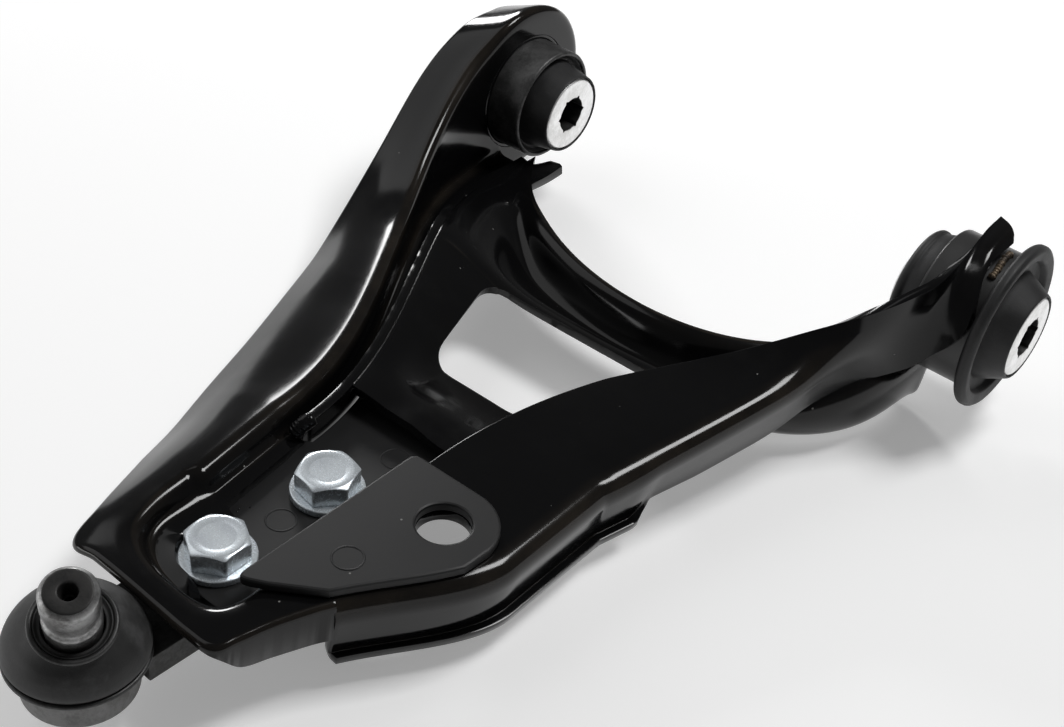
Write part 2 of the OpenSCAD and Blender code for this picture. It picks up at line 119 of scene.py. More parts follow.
# from b to c, with a and d as the neighbours that set the slopes
def smoothStep(a, b, c, d, t):
    return 0.5*(2*b + (c - a)*t + (2*a - 5*b + 4*c - d)*t**2 + (3*b - a - 3*c + d)*t**3)


# from start to stop, pulled towards a corner
def roundCorner(start, corner, stop, t):
    return start*(1 - t)**2 + corner*2*t*(1 - t) + stop*t*t


def bezier(p, t):
    p = np.asarray(p, float)
    t = t[:, None]
    return p[0]*(1 - t)**3 + 3*p[1]*t*(1 - t)**2 + 3*p[2]*t*t*(1 - t) + p[3]*t**3


# smooth line through points, evenly spread
def spline(points, count):
    p = np.asarray(points, float)
    p = np.vstack([2*p[0] - p[1], p, 2*p[-1] - p[-2]])
    t = np.linspace(0, len(p) - 3 - 1e-9, count)
    i = t.astype(int)
    return smoothStep(p[i], p[i + 1], p[i + 2], p[i + 3], (t - i)[:, None])


# rows of control points become rows of fine points with rounded bends
def roundedRows(rows, radii, spans, steps):
    out, last = [], rows[:, 0]
    for i in range(1, rows.shape[1]):
        b = rows[:, i]
        final = i == rows.shape[1] - 1
        if final:
            start = b
        else:
            legs = []
            for other in (rows[:, i - 1], rows[:, i + 1]):
                away = other - b
                size = np.linalg.norm(away, axis=1, keepdims=True) + 1e-9
                legs.append(b + away/size*np.minimum(radii[i - 1], 0.46*size))
            start, stop = legs
        for k in range(spans[i - 1]):
            out.append(mix(last, start, k/spans[i - 1]))
        if final:
            out.append(b)
        else:
            out += [roundCorner(start, b, stop, k/steps) for k in range(steps)]
            last = stop
    return np.stack(out, 1)


# rounded corners on a closed line of points
def roundedProfile(points, size, steps=4):
    p = np.asarray(points, float)
    out = []
    for i in range(len(p)):
        a, b, c = p[i - 1], p[i], p[(i + 1) % len(p)]
        la, lc = np.linalg.norm(a - b), np.linalg.norm(c - b)
        s = b + (a - b)/la*min(size, 0.45*la)
        e = b + (c - b)/lc*min(size, 0.45*lc)
        out += [roundCorner(s, b, e, k/steps) for k in range(steps + 1)]
    return np.array(out)


def fullTurn(count):
    return np.linspace(0, 2*math.pi, count, endpoint=False)


def circleLine(centre, r, count=64):
    a = fullTurn(count)
    return np.stack([centre[0] + r*np.cos(a), centre[1] + r*np.sin(a)], 1)


def insideOutline(points, outline):
    x, y = points[:, 0], points[:, 1]
    hit = np.zeros(len(points), bool)
    for i in range(len(outline)):
        (x0, y0), (x1, y1) = outline[i - 1], outline[i]
        if y0 != y1:
            hit ^= ((y0 > y) != (y1 > y)) & (x < (x1 - x0)*(y - y0)/(y1 - y0) + x0)
    return hit


def linkObject(name, data):
    obj = bpy.data.objects.new(name, data)
    scene.collection.objects.link(obj)
    return obj


def meshObject(name, points, faces, edges=()):
    mesh = bpy.data.meshes.new(name)
    mesh.from_pydata((np.asarray(points, float)*mm).tolist(), list(edges), [list(map(int, f)) for f in faces])
    mesh.update()
    return linkObject(name, mesh)


# body of a piece, and the CAD node that it stands for, which is hidden
def dress(piece, body="arm", node=None):
    if node:
        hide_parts(node)
    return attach(piece, body)


# modifiers become the mesh itself, with smooth shading up to a sharp angle
def settle(obj, material, sharp=38):
    graph = bpy.context.evaluated_depsgraph_get()
    made = bpy.data.meshes.new_from_object(obj.evaluated_get(graph))
    old = obj.data
    obj.modifiers.clear()
    obj.data = made
    made.name = obj.name
    bpy.data.meshes.remove(old)
    made.materials.clear()
    made.materials.append(material)
    made.polygons.foreach_set("material_index", [0]*len(made.polygons))
    made.polygons.foreach_set("use_smooth", [True]*len(made.polygons))
    made.set_sharp_from_angle(angle=math.radians(sharp))
    return obj


def softenEdges(obj, width, angle):
    bevel = obj.modifiers.new("softEdge", "BEVEL")
    bevel.width = width*mm
    bevel.segments = 2
    bevel.limit_method = "ANGLE"
    bevel.angle_limit = math.radians(angle)
    bevel.use_clamp_overlap = True


# how far from a line faces are cut, and how near points are joined
cutting = {"band": 3*mm, "past": 2*mm, "snap": 0.02*mm, "join": 0.06*mm}


# cuts the faces along a closed line in two axes and drops those inside it
def sliceOut(work, outline, axes, where):
    i, j = axes
    line = np.asarray(outline, float)*mm
    sides = list(zip(line, np.roll(line, -1, 0)))

    def faceList():
        faces = [f for f in work.faces if where(f.calc_center_median()/mm)]
        return faces, np.array([f.calc_center_median() for f in faces])[:, [i, j]]

    faces, middles = faceList()
    far = np.full(len(faces), 1e9)
    for a, b in sides:
        t = np.clip((middles - a)@(b - a)/max((b - a)@(b - a), 1e-12), 0, 1)
        far = np.minimum(far, np.linalg.norm(middles - a - t[:, None]*(b - a), axis=1))
    near = {f: None for f, d in zip(faces, far) if d < cutting["band"]}
    for a, b in sides:
        size = np.linalg.norm(b - a)
        d = (b - a)/size
        band = []
        for face in near:
            c = face.calc_center_median()
            along = (c[i] - a[0])*d[0] + (c[j] - a[1])*d[1]
            off = (c[j] - a[1])*d[0] - (c[i] - a[0])*d[1]
            if -cutting["past"] < along < size + cutting["past"] and abs(off) < cutting["band"]:
                band.append(face)
        across, spot = Vector((0, 0, 0)), Vector((0, 0, 0))
        across[i], across[j], spot[i], spot[j] = -d[1], d[0], a[0], a[1]
        edges = dict.fromkeys(e for f in band for e in f.edges)
        verts = dict.fromkeys(v for f in band for v in f.verts)
        made = bmesh.ops.bisect_plane(work, geom=[*band, *edges, *verts], plane_co=spot, plane_no=across,
                                      dist=cutting["snap"])
        near.update((g, None) for g in made["geom"] if isinstance(g, bmesh.types.BMFace))
    faces, middles = faceList()
    gone = [f for f, hit in zip(faces, insideOutline(middles, line)) if hit]
    bmesh.ops.delete(work, geom=gone, context="FACES")
    edge = [v for v in work.verts if v.is_boundary]
    bmesh.ops.remove_doubles(work, verts=edge, dist=cutting["join"])


pressing = {"rim": 0.8, "rimAngle": 55, "join": 0.002*mm, "tint": 28}


# sheet metal about grids of middle-face points, with openings cut out of it
def pressedSheet(name, grids, cuts):
    points, faces, tints = [], [], []
    for grid, drop, tint in grids:
        rows, cols = grid.shape[:2]
        index = np.arange(rows*cols).reshape(rows, cols)
        quads = np.stack([index[:-1, :-1], index[:-1, 1:], index[1:, 1:], index[1:, :-1]], -1).reshape(-1, 4)
        if drop is not None:
            quads = quads[~drop.reshape(-1)]
        used, back = np.unique(quads, return_inverse=True)
        faces.append(back.reshape(-1, 4) + sum(map(len, points)))
        points.append(grid.reshape(-1, 3)[used])
        tints.append(tint.reshape(-1)[used])
    obj = meshObject(name, np.vstack(points), np.vstack(faces))
    layer = obj.data.attributes.new("bend", "FLOAT", "POINT")
    layer.data.foreach_set("value", np.concatenate(tints).astype(np.float32))
    work = bmesh.new()
    work.from_mesh(obj.data)
    bmesh.ops.remove_doubles(work, verts=work.verts, dist=pressing["join"])
    for outline, axes, where in cuts:
        sliceOut(work, outline, axes, where)
    bmesh.ops.delete(work, geom=[v for v in work.verts if not v.link_faces], context="VERTS")
    work.to_mesh(obj.data)
    work.free()
    solid = obj.modifiers.new("thickness", "SOLIDIFY")
    solid.thickness = arm["sheet"]*mm
    solid.offset = 0
    softenEdges(obj, pressing["rim"], pressing["rimAngle"])
    return settle(obj, blackPaint)


# how sharply the sheet turns across each row, for the lighter brown along the bends: less paint there, and partly
# a painted highlight tint
def bendTint(grid):
    d = np.diff(grid, axis=1)
    d /= np.linalg.norm(d, axis=2, keepdims=True) + 1e-9
    turn = 1 - np.clip((d[:, :-1]*d[:, 1:]).sum(2), -1, 1)
    out = np.zeros(grid.shape[:2])
    out[:, 1:-1] = np.clip(turn*pressing["tint"], 0, 1)
    return out


pivotFrame = np.array([[0.0, 1, 0], [0, 0, 1], [1, 0, 0]])  # radius across y and z, height along x


def studFrame():
    return np.array(Matrix.Rotation(-leanBack, 3, "Y") @ Matrix.Rotation(-leanOut, 3, "X")).T


def tidyFaces(obj):
    work = bmesh.new()
    work.from_mesh(obj.data)
    bmesh.ops.remove_doubles(work, verts=work.verts, dist=1e-6)
    bmesh.ops.dissolve_degenerate(work, dist=1e-7, edges=work.edges)
    bmesh.ops.recalc_face_normals(work, faces=work.faces)
    work.to_mesh(obj.data)
    work.free()


# closed profiles, one for each step of a full turn, joined into a ring
def closedRing(name, profiles, material, sharp):
    count, n = len(profiles), len(profiles[0])
    faces = []
    for j in range(count):
        k = (j + 1) % count
        faces += [(j*n + i, k*n + i, k*n + (i + 1) % n, j*n + (i + 1) % n) for i in range(n)]
    obj = meshObject(name, np.vstack(profiles), faces)
    tidyFaces(obj)
    return settle(obj, material, sharp)


# turns a closed profile about an axis; wobble changes the radius round the turn
def turned(name, profile, material, centre=(0, 0, 0), axes=np.eye(3), count=96, wobble=None, sharp=38):
    profile = np.asarray(profile, float)
    rings = []
    for j in range(count):
        a = 2*math.pi*j/count
        r = profile[:, 0] if wobble is None else wobble(profile, a)
        local = np.stack([r*math.cos(a), r*math.sin(a), profile[:, 1]], 1)
        rings.append(local@axes + np.asarray(centre, float))
    return closedRing(name, rings, material, sharp)


# plate cut from a plan outline, with round holes
def cutPlate(name, outline, z0, z1, material, holes, edge):
    work = bmesh.new()
    edges = []
    for loop in [np.asarray(outline, float)] + [circleLine(place, r) for place, r in holes]:
        verts = [work.verts.new((x*mm, y*mm, z1*mm)) for x, y in loop]
        edges += [work.edges.new((verts[i], verts[(i + 1) % len(verts)])) for i in range(len(verts))]
    bmesh.ops.triangle_fill(work, use_beauty=True, edges=edges)
    bmesh.ops.dissolve_limit(work, angle_limit=0.01, verts=work.verts, edges=work.edges)
    bmesh.ops.recalc_face_normals(work, faces=work.faces)
    made = bmesh.ops.extrude_face_region(work, geom=work.faces[:])
    low = [v for v in made["geom"] if isinstance(v, bmesh.types.BMVert)]
    bmesh.ops.translate(work, verts=low, vec=(0, 0, (z0 - z1)*mm))
    bmesh.ops.recalc_face_normals(work, faces=work.faces)
    mesh = bpy.data.meshes.new(name)
    work.to_mesh(mesh)
    work.free()
    obj = linkObject(name, mesh)
    softenEdges(obj, edge, 50)
    return settle(obj, material, 20)  # flat faces keep flat shading


socketKinds = {int: "NodeSocketInt", float: "NodeSocketFloat", type(None): "NodeSocketMaterial"}


# named inputs of a node group; the kind follows from the value
def addInputs(tree, inputs):
    for label, value in inputs.items():
        if isinstance(value, tuple):
            kind = "NodeSocketColor" if len(value) == 4 else "NodeSocketVector"
        else:
            kind = socketKinds[type(value)]
        socket = tree.interface.new_socket(label, in_out="INPUT", socket_type=kind)
        if value is not None:
            socket.default_value = value


def skinGroup(name, inputs):
    tree = bpy.data.node_groups.new(name, "ShaderNodeTree")
    addInputs(tree, {"Where": (0.0, 0.0, 0.0), **inputs})
    for label, kind in (("Colour", "Color"), ("Roughness", "Float"), ("Height", "Float")):
        tree.interface.new_socket(label, in_out="OUTPUT", socket_type="NodeSocket" + kind)
    return tree, tree.nodes.new("NodeGroupInput").outputs, tree.nodes.new("NodeGroupOutput").inputs


def endSkin(tree, out, colour, rough, height):
    for label, socket in (("Colour", colour), ("Roughness", rough), ("Height", height)):
        tree.links.new(socket, out[label])
    return tree


def addNode(tree, kind, links=None, **values):
    node = tree.nodes.new(kind)
    for key, value in values.items():
        setattr(node, key, value)
    for socket, value in (links or {}).items():
        if isinstance(value, bpy.types.NodeSocket):
            tree.links.new(value, node.inputs[socket])
        else:
            node.inputs[socket].default_value = value
    return node


def mathNode(tree, operation, a, b=0.0, clamp=False):
    return addNode(tree, "ShaderNodeMath", {0: a, 1: b}, operation=operation, use_clamp=clamp).outputs[0]


def times(tree, a, b):
    return mathNode(tree, "MULTIPLY", a, b)


def plus(tree, a, b, clamp=False):
    return mathNode(tree, "ADD", a, b, clamp)


def scaled(tree, where, factors):
    return addNode(tree, "ShaderNodeVectorMath", {0: where, 1: factors}, operation="MULTIPLY").outputs[0]


def rangeNode(tree, value, low, high, to0=0.0, to1=1.0):
    return addNode(tree, "ShaderNodeMapRange",
                   {"Value": value, "From Min": low, "From Max": high, "To Min": to0, "To Max": to1},
                   interpolation_type="SMOOTHSTEP").outputs["Result"]


def mixColour(tree, share, a, b):
    links = {0: share, 6: a, 7: b if isinstance(b, bpy.types.NodeSocket) else (*b, 1.0)}
    return addNode(tree, "ShaderNodeMix", links, data_type="RGBA").outputs[2]


def noiseNode(tree, where, scale, detail, rough=0.5):
    return addNode(tree, "ShaderNodeTexNoise",
                   {"Vector": where, "Scale": scale, "Detail": detail, "Roughness": rough}).outputs["Fac"]


# dipped paint: fine peel, drifting gloss, specks of dust and a lighter brown along the bends, partly less paint
# there and partly a painted highlight tint
def buildPaintSkin():
    tree, inn, out = skinGroup("paintSkin", {
        "Paint": (0.0035, 0.0035, 0.0038, 1), "ThinAndHighlight": (0.022, 0.018, 0.014, 1), "Bend": 0.0, "Dust": 0.5,
        "Gloss": 0.14, "Peel": 0.1})
    where = inn["Where"]
    drift = noiseNode(tree, where, 38, 4, 0.6)
    peel = noiseNode(tree, where, 620, 2)
    wave = noiseNode(tree, where, 45, 1)
    speck = addNode(tree, "ShaderNodeTexVoronoi", {"Vector": where, "Scale": 260.0, "Randomness": 1.0}).outputs
    near = rangeNode(tree, speck["Distance"], 0.05, 0.1, 1, 0)
    some = rangeNode(tree, addNode(tree, "ShaderNodeSeparateColor", {0: speck["Color"]}).outputs[0], 0.93, 0.95)
    dust = times(tree, times(tree, near, some), inn["Dust"])
    film = rangeNode(tree, noiseNode(tree, where, 22, 6, 0.65), 0.52, 0.75)
    # lighter brown along the bends: less paint there, and partly a painted tint of the crease highlights
    thinAndHighlight = times(tree, inn["Bend"], rangeNode(tree, drift, 0.35, 0.65, 0.35, 1))
    colour = mixColour(tree, thinAndHighlight, inn["Paint"], inn["ThinAndHighlight"])
    colour = mixColour(tree, times(tree, film, 0.02), colour, (0.16, 0.16, 0.165))
    colour = mixColour(tree, dust, colour, (0.42, 0.42, 0.4))
    rough = plus(tree, inn["Gloss"], rangeNode(tree, drift, 0.3, 0.75, -0.02, 0.05))
    rough = plus(tree, rough, times(tree, film, 0.06))
    rough = plus(tree, rough, times(tree, dust, 0.5), clamp=True)
    height = plus(tree, times(tree, peel, inn["Peel"]), times(tree, wave, 0.9))
    height = plus(tree, height, times(tree, dust, 0.6))
    return endSkin(tree, out, colour, rough, height)


# moulded rubber: pale bloom, mould smears and a fine matt grain
def buildRubberSkin():
    tree, inn, out = skinGroup("rubberSkin", {
        "Dark": (0.011, 0.011, 0.012, 1), "Bloom": (0.06, 0.06, 0.062, 1), "Amount": 0.5, "Grain": 0.3})
    where = inn["Where"]
    cloud = noiseNode(tree, where, 75, 6, 0.68)
    smear = noiseNode(tree, scaled(tree, where, (0.35, 1.4, 1.4)), 160, 4, 0.6)
    grain = noiseNode(tree, where, 2400, 2)
    share = times(tree, rangeNode(tree, cloud, 0.4, 0.72), inn["Amount"])
    share = plus(tree, share, times(tree, rangeNode(tree, smear, 0.58, 0.74), 0.16), clamp=True)
    colour = mixColour(tree, share, inn["Dark"], inn["Bloom"])
    rough = rangeNode(tree, cloud, 0.3, 0.75, 0.5, 0.72)
    height = plus(tree, times(tree, grain, inn["Grain"]), times(tree, smear, 0.4))
    return endSkin(tree, out, colour, rough, height)


# bare or plated steel: patchy tone, fine scuffs and turning marks round an axis
def buildSteelSkin():
    tree, inn, out = skinGroup("steelSkin", {
        "Light": (0.78, 0.8, 0.82, 1), "Dull": (0.5, 0.52, 0.54, 1), "Smooth": 0.25, "Scuff": 0.5, "Turning": 0.0,
        "Pitch": 5000.0})
    where = inn["Where"]
    patch = noiseNode(tree, where, 130, 5, 0.6)
    fine = noiseNode(tree, where, 900, 4, 0.7)
    line = noiseNode(tree, scaled(tree, where, (0.15, 1, 3)), 1500, 2)
    across = scaled(tree, where, (0, 1, 1))
    radius = addNode(tree, "ShaderNodeVectorMath", {0: across}, operation="LENGTH").outputs["Value"]
    ring = times(tree, mathNode(tree, "SINE", times(tree, radius, inn["Pitch"])), inn["Turning"])
    share = rangeNode(tree, plus(tree, times(tree, patch, 0.7), times(tree, fine, 0.3)), 0.38, 0.64)
    colour = mixColour(tree, share, inn["Light"], inn["Dull"])
    rough = plus(tree, inn["Smooth"], times(tree, mathNode(tree, "SUBTRACT", fine, 0.45), inn["Scuff"]))
    rough = plus(tree, rough, times(tree, ring, 0.05), clamp=True)
    height = plus(tree, times(tree, line, inn["Scuff"]), ring)
    return endSkin(tree, out, colour, rough, height)


skins = {"paint": buildPaintSkin(), "rubber": buildRubberSkin(), "steel": buildSteelSkin()}


# one material: a Principled shader fed by a skin group; bump is its strength and height
def skinMaterial(name, skin, bump, values, bend=False):
    material = bpy.data.materials.new(name)
    material.use_nodes = True
    tree = material.node_tree
    shader = tree.nodes["Principled BSDF"]
    group = tree.nodes.new("ShaderNodeGroup")
    group.node_tree = skins[skin]
    where = tree.nodes.new("ShaderNodeTexCoord")
    tree.links.new(where.outputs["Object"], group.inputs["Where"])
    for label, value in values.items():
        owner = group if label in group.inputs else shader
        owner.inputs[label].default_value = (*value, 1.0) if isinstance(value, tuple) else value
    if bend:
        layer = addNode(tree, "ShaderNodeAttribute", attribute_name="bend")
        tree.links.new(layer.outputs["Fac"], group.inputs["Bend"])
    relief = addNode(tree, "ShaderNodeBump", {"Strength": bump[0], "Distance": bump[1],
                                              "Height": group.outputs["Height"]})
    for socket, label in ((group.outputs["Colour"], "Base Color"), (group.outputs["Roughness"], "Roughness"),
                          (relief.outputs["Normal"], "Normal")):
        tree.links.new(socket, shader.inputs[label])
    return material


def grey(level):
    return (level, level, level)


blackPaint = skinMaterial("blackDippedPaint", "paint", (0.06, 0.0006), {
    "Gloss": 0.12, "Dust": 0.5, "Peel": 0.05, "IOR": 1.36}, bend=True)
satinPaint = skinMaterial("satinBlackPaint", "paint", (0.1, 0.0005), {
    "Gloss": 0.48, "Dust": 0.5, "Peel": 0.25, "Paint": (0.008, 0.008, 0.0085), "IOR": 1.4})
platePaint = skinMaterial("greyPlatePaint", "paint", (0.12, 0.0005), {
    "Gloss": 0.5, "Dust": 0.7, "Peel": 0.35, "Paint": (0.01, 0.01, 0.0105), "IOR": 1.36})
tubePaint = skinMaterial("eyeTubePaint", "paint", (0.12, 0.0005), {
    "Gloss": 0.34, "Dust": 0.6, "Peel": 0.3, "Paint": grey(0.03), "IOR": 1.5})
weldPaint = skinMaterial("paintedWeld", "paint", (0.35, 0.0006), {
    "Gloss": 0.2, "Dust": 0.9, "Peel": 0.9, "Paint": grey(0.009), "IOR": 1.5})
burntWeld = skinMaterial("burntWeld", "steel", (0.6, 0.0006), {
    "Light": (0.2, 0.15, 0.1), "Dull": (0.05, 0.041, 0.033), "Smooth": 0.5, "Scuff": 0.6, "Metallic": 0.55})
forgedSteel = skinMaterial("forgedShank", "steel", (0.4, 0.0005), {
    "Light": (0.1, 0.1, 0.099), "Dull": (0.05, 0.049, 0.048), "Smooth": 0.5, "Scuff": 0.35, "Metallic": 0.35})
# lighter copy of the forged shank's steel, for the cup alone: painted light that makes up for the shade on the
# cup's side
litCupSteel = skinMaterial("forgedCupLitCopy", "steel", (0.4, 0.0005), {
    "Light": (0.22, 0.22, 0.218), "Dull": (0.13, 0.129, 0.127), "Smooth": 0.5, "Scuff": 0.35, "Metallic": 0.35})
bushRubber = skinMaterial("bushRubber", "rubber", (0.35, 0.0004), {
    "Amount": 0.5, "Grain": 0.3, "Dark": (0.008, 0.008, 0.0085), "Bloom": (0.045, 0.045, 0.046), "IOR": 1.48})
bootRubber = skinMaterial("bootRubber", "rubber", (0.3, 0.0004), {
    "Amount": 0.75, "Grain": 0.35, "Dark": grey(0.014), "Bloom": (0.07, 0.07, 0.071), "IOR": 1.48})
zincPlate = skinMaterial("zincPlate", "steel", (0.12, 0.0003), {
    "Light": (0.8, 0.86, 0.9), "Dull": (0.68, 0.73, 0.78), "Smooth": 0.26, "Scuff": 0.12, "Metallic": 0.6})
turnedSteel = skinMaterial("turnedSleeve", "steel", (0.12, 0.0003), {
    "Light": grey(0.93), "Dull": (0.72, 0.72, 0.71), "Smooth": 0.4, "Scuff": 0.25, "Turning": 0.5,
    "Pitch": 9000.0, "Metallic": 1.0})
studSteel = skinMaterial("studSteel", "steel", (0.2, 0.0003), {
    "Light": grey(0.36), "Dull": (0.1, 0.098, 0.095), "Smooth": 0.34, "Scuff": 0.4, "Metallic": 0.9})
# darker steel for the stud's end face; in the stud's centre hole and the sleeves' bores the dark is painted shade
studEnd = skinMaterial("studEnd", "steel", (0.25, 0.0003), {
    "Light": (0.035, 0.034, 0.033), "Dull": grey(0.014), "Smooth": 0.5, "Scuff": 0.4, "Metallic": 0.5})
shellSteel = skinMaterial("shellSteel", "steel", (0.2, 0.0003), {
    "Light": grey(0.1), "Dull": grey(0.04), "Smooth": 0.45, "Scuff": 0.4, "Metallic": 0.5})
springSteel = skinMaterial("springRing", "steel", (0.2, 0.0003), {
    "Light": grey(0.07), "Dull": grey(0.035), "Smooth": 0.45, "Scuff": 0.3, "Metallic": 0.7})
seatPlastic = skinMaterial("seatPlastic", "rubber", (0.1, 0.0003), {
    "Dark": (0.7, 0.69, 0.65), "Bloom": (0.8, 0.79, 0.75), "Amount": 0.4, "IOR": 1.48})
print("materials made:", len(bpy.data.materials))

# front leg
leg = {"sweep": 62, "eyeRim": 31.0, "eyeRimEdge": 27.0, "flankDrop": 14.0, "grooveZ": -19.0, "land": 5.0,
       "eyeFall": 2.4, "rowStep": 1.4, "lastRow": 214.1, "boreR": 21.6, "flankStep": 30.0, "turnY": 236.0,
       "flank": [17.2, 17.2, 18.0, 12.5, 5.2, -5.8, -16.9, -27.0, -38.4, -53.1, -69.0],
       "spans": [1, 12, 10, 4, 38, 16, 10], "radii": [0.3, 14, 6, 3.2, 5, 5], "bendSteps": 8,
       "leastDrop": 0.3, "lipWidth": 3.6, "boltRoom": 11.5, "ledgeZ": -13.5, "ledgeWidth": 14, "fanSteps": 90,
       "rimAngles": (90, 306, 2.0), "collar": [(20.05, 0.6), (21.4, 0.6), (23, 2.2), (23, 13), (20.05, 13)],
       "turn": ((-59.2, 229.5, -7.9), (-64.6, 228.5, -13.2)),  # lip and wall foot at turnY
       # outer edge, lip, wall foot and drop of the side wall, going round the recess
       "recess": [((-56.6, 249.2, -11.2), (-63.4, 240, -8), (-67, 235.5, -14), 0.3),
                  ((-66.5, 250.6, -8.6), (-70.6, 245.4, -8), (-72.6, 239.6, -15), 0.3),
                  ((-79, 251.4, -8), (-79.6, 248.2, -8), (-80, 241.4, -15.6), 0.3),
                  ((-91, 252.1, -8), (-91.4, 249, -8), (-89.6, 242, -15.8), 0.3),
                  ((-102.5, 252.7, -8), (-100, 248, -8), (-96, 240.6, -15.8), 0.3),
                  ((-110.3, 252, -8), (-104.6, 245.3, -8), (-99.2, 237.2, -15.8), 1.6),
                  ((-112.4, 246, -8), (-106.8, 240, -8), (-100.8, 231.5, -15.8), 8.6),
                  ((-114.8, 237, -8), (-107.4, 232.5, -8), (-101.4, 226, -15.8), 10.4),
                  ((-118.6, 227, -8), (-108, 224, -8), (-101.8, 220, -15.8), 11),
                  ((-121.2, 221.4, -8), (-108.4, 218.5, -8), (-102, 214.5, -15.8), 11.5)]}


def crestX(y):
    return 4 - leg["sweep"]*ramp(y, 20, arm["sweepEnd"]) - 0.12*np.maximum(0, y - arm["sweepEnd"])


# round the eye first, then down to a foot height
def rimLine(y, r, foot, share, end):
    y0, s = share*r, math.sqrt(1 - share*share)*r
    circle = np.sqrt(np.maximum(r*r - np.minimum(y, y0)**2, 0))
    return np.where(y < y0, circle, bow(y, y0, s, -share*r/s, end, foot, 0))


def crestZ(y):
    return rimLine(y, leg["eyeRim"] - 0.9, deck + 1.5, 0.5, 92) - 0.6*ramp(y, arm["ribEnd"], arm["noseY"] - 10)


def wallX(y):
    return crestX(y) - 1.2 - 1.4*ramp(-y, -60, -26) - 2.8*ramp(y, arm["ribEnd"] - 15, arm["ribEnd"] + 10)


# lower edge of the flank, one value per step
def flankX(y):
    u = np.clip(np.asarray(y, float)/leg["flankStep"] + 1, 1, len(leg["flank"]) - 2.001)
    i = u.astype(int)
    return smoothStep(*(np.asarray(leg["flank"])[i + k] for k in (-1, 0, 1, 2)), u - i)


def flankZ(y):
    return (rimLine(y, leg["eyeRimEdge"], deck - leg["flankDrop"], 0.3, 110)
            + 12*ramp(y, arm["ribEnd"] + 12, arm["noseY"]) - leg["eyeFall"]*(1 - ease(y/16)))


def ribX(y):
    return (-13 - (leg["sweep"] - 8)*ramp(y, 25, arm["ribEnd"] + 2) - 4*ramp(y, arm["ribEnd"], arm["ribEnd"] + 20)
            - 0.12*np.maximum(0, y - arm["sweepEnd"]))


def ribZ(y):
    return arm["deckTop"] - 0.5 - 9*ramp(-y, -80, -20)


def grooveZ(y):
    return leg["grooveZ"] - 3*ramp(-y, -80, -30) + 3.5*ramp(y, arm["ribEnd"] - 8, arm["ribEnd"] + 8)


# section of the leg from the flank's edge over the crest and the groove to the rib
def legRows(y):
    inEye = ramp(-y, -30, -4)
    fx, fz, cx, cz = flankX(y), flankZ(y), crestX(y) - 1.2*inEye, crestZ(y)
    px = cx + leg["land"]*(1 - inEye) + 1.2*inEye
    pz = cz - 1.1*(1 - inEye) - 0.1*inEye
    foot = mix(grooveZ(y), -13.2, ramp(y, arm["ribEnd"] - 4, arm["ribEnd"] + 8))
    past = y > arm["ribEnd"] - 1
    rx = np.where(past, wallX(y) - 6.2, ribX(y))
    section = [(fx + 0.2, fz - 0.3), (fx, fz), (mix(fx, px, 0.5), mix(fz, pz, mix(0.62, 0.5, inEye))), (px, pz),
               (cx - 0.6, cz), (wallX(y), foot),
               (np.where(past, rx + 1.5, rx + 1.2), np.where(past, foot - 0.2, grooveZ(y))),
               (rx, np.where(past, foot - 0.3, ribZ(y)))]
    return np.stack([stack(x, y, z) for x, z in section], 1)


# section of the nose, going round the recess from the last row of the leg
def noseRows(last):
    y, least = leg["turnY"], leg["leastDrop"]
    turn = ((flankX(y), y, flankZ(y)), *leg["turn"], least)
    stations = [(last[1], last[3], last[5], least), turn, *leg["recess"]]
    fan = spline([np.hstack(s) for s in stations], leg["fanSteps"])[1:]
    edge, lip, foot, drop = fan[:, 0:3], fan[:, 3:6], fan[:, 6:9], np.maximum(fan[:, 9], least)
    step = np.arange(len(fan))
    inward = foot - lip
    inward[:, 2] = 0
    inward /= np.linalg.norm(inward, axis=1, keepdims=True)
    lipEnd = lip + inward*leg["lipWidth"] + np.array([0, 0, 1])*mix(0.5, -0.5, ease(step/18))[:, None]
    down = np.stack([0.02*drop, 0.02*drop, -drop], 1)
    middle = mix(edge, lip, 0.5)
    middle[:, 2] += 0.12*np.abs(edge[:, 2] - lip[:, 2])
    # ledge at the wall's foot, as wide as the bolt leaves room for
    room = np.hypot(*(foot[:, :2] - np.array(arm["bolts"]["outer"])).T) - leg["boltRoom"]
    wide = np.clip(room, 0.05, leg["ledgeWidth"])*(1 - ease((step - 34)/10)) + 0.05
    ledge = inward*wide[:, None]
    ledge[:, 2] = np.maximum(leg["ledgeZ"] - foot[:, 2], -0.3)*np.minimum(wide, 1)
    return np.stack([edge + down, edge, middle, lip, lipEnd, foot, foot + ledge, foot + 1.3*ledge], 1)


def frontLeg():
    spans, steps = leg["spans"], leg["bendSteps"]
    yLeg = np.arange(0, leg["lastRow"], leg["rowStep"])
    rows = legRows(yLeg)
    nose = noseRows(rows[-1])
    fine = roundedRows(np.concatenate([rows, nose]), leg["radii"], spans, steps)
    # no rib where it ends and none inside the eye; rows of the nose lie past both
    wallFoot = sum(spans[:5]) + 4*steps + 2
    rowY = np.concatenate([yLeg, np.full(len(nose), 400.0)])[:-1]
    drop = np.zeros((fine.shape[0] - 1, fine.shape[1] - 1), bool)
    drop[(rowY > arm["ribEnd"] - 2.6) & (rowY < arm["ribEnd"] + 0.4), wallFoot + 6:] = True
    drop[rowY < 12, wallFoot - 6:] = True
    # far half of the eye: the first row turned about the pivot
    first = fine[0][fine[0, :, 2] > leg["boreR"] - 2]
    angles = np.radians(np.arange(*leg["rimAngles"]))[::-1]
    rim = np.stack([stack(first[:, 0], first[:, 2]*math.cos(a), first[:, 2]*math.sin(a)) for a in angles])
    bore = circleLine((0, 0), leg["boreR"], 60)
    piece = pressedSheet("frontLeg", [(fine, drop, bendTint(fine)), (rim, None, bendTint(rim))],
                         [(bore, (1, 2), lambda c: c[0] < 8)])
    collar = turned("frontEyeCollar", roundedProfile(leg["collar"], 0.8), blackPaint, axes=pivotFrame)
    dress(piece, node="front_leg")
    dress(collar)


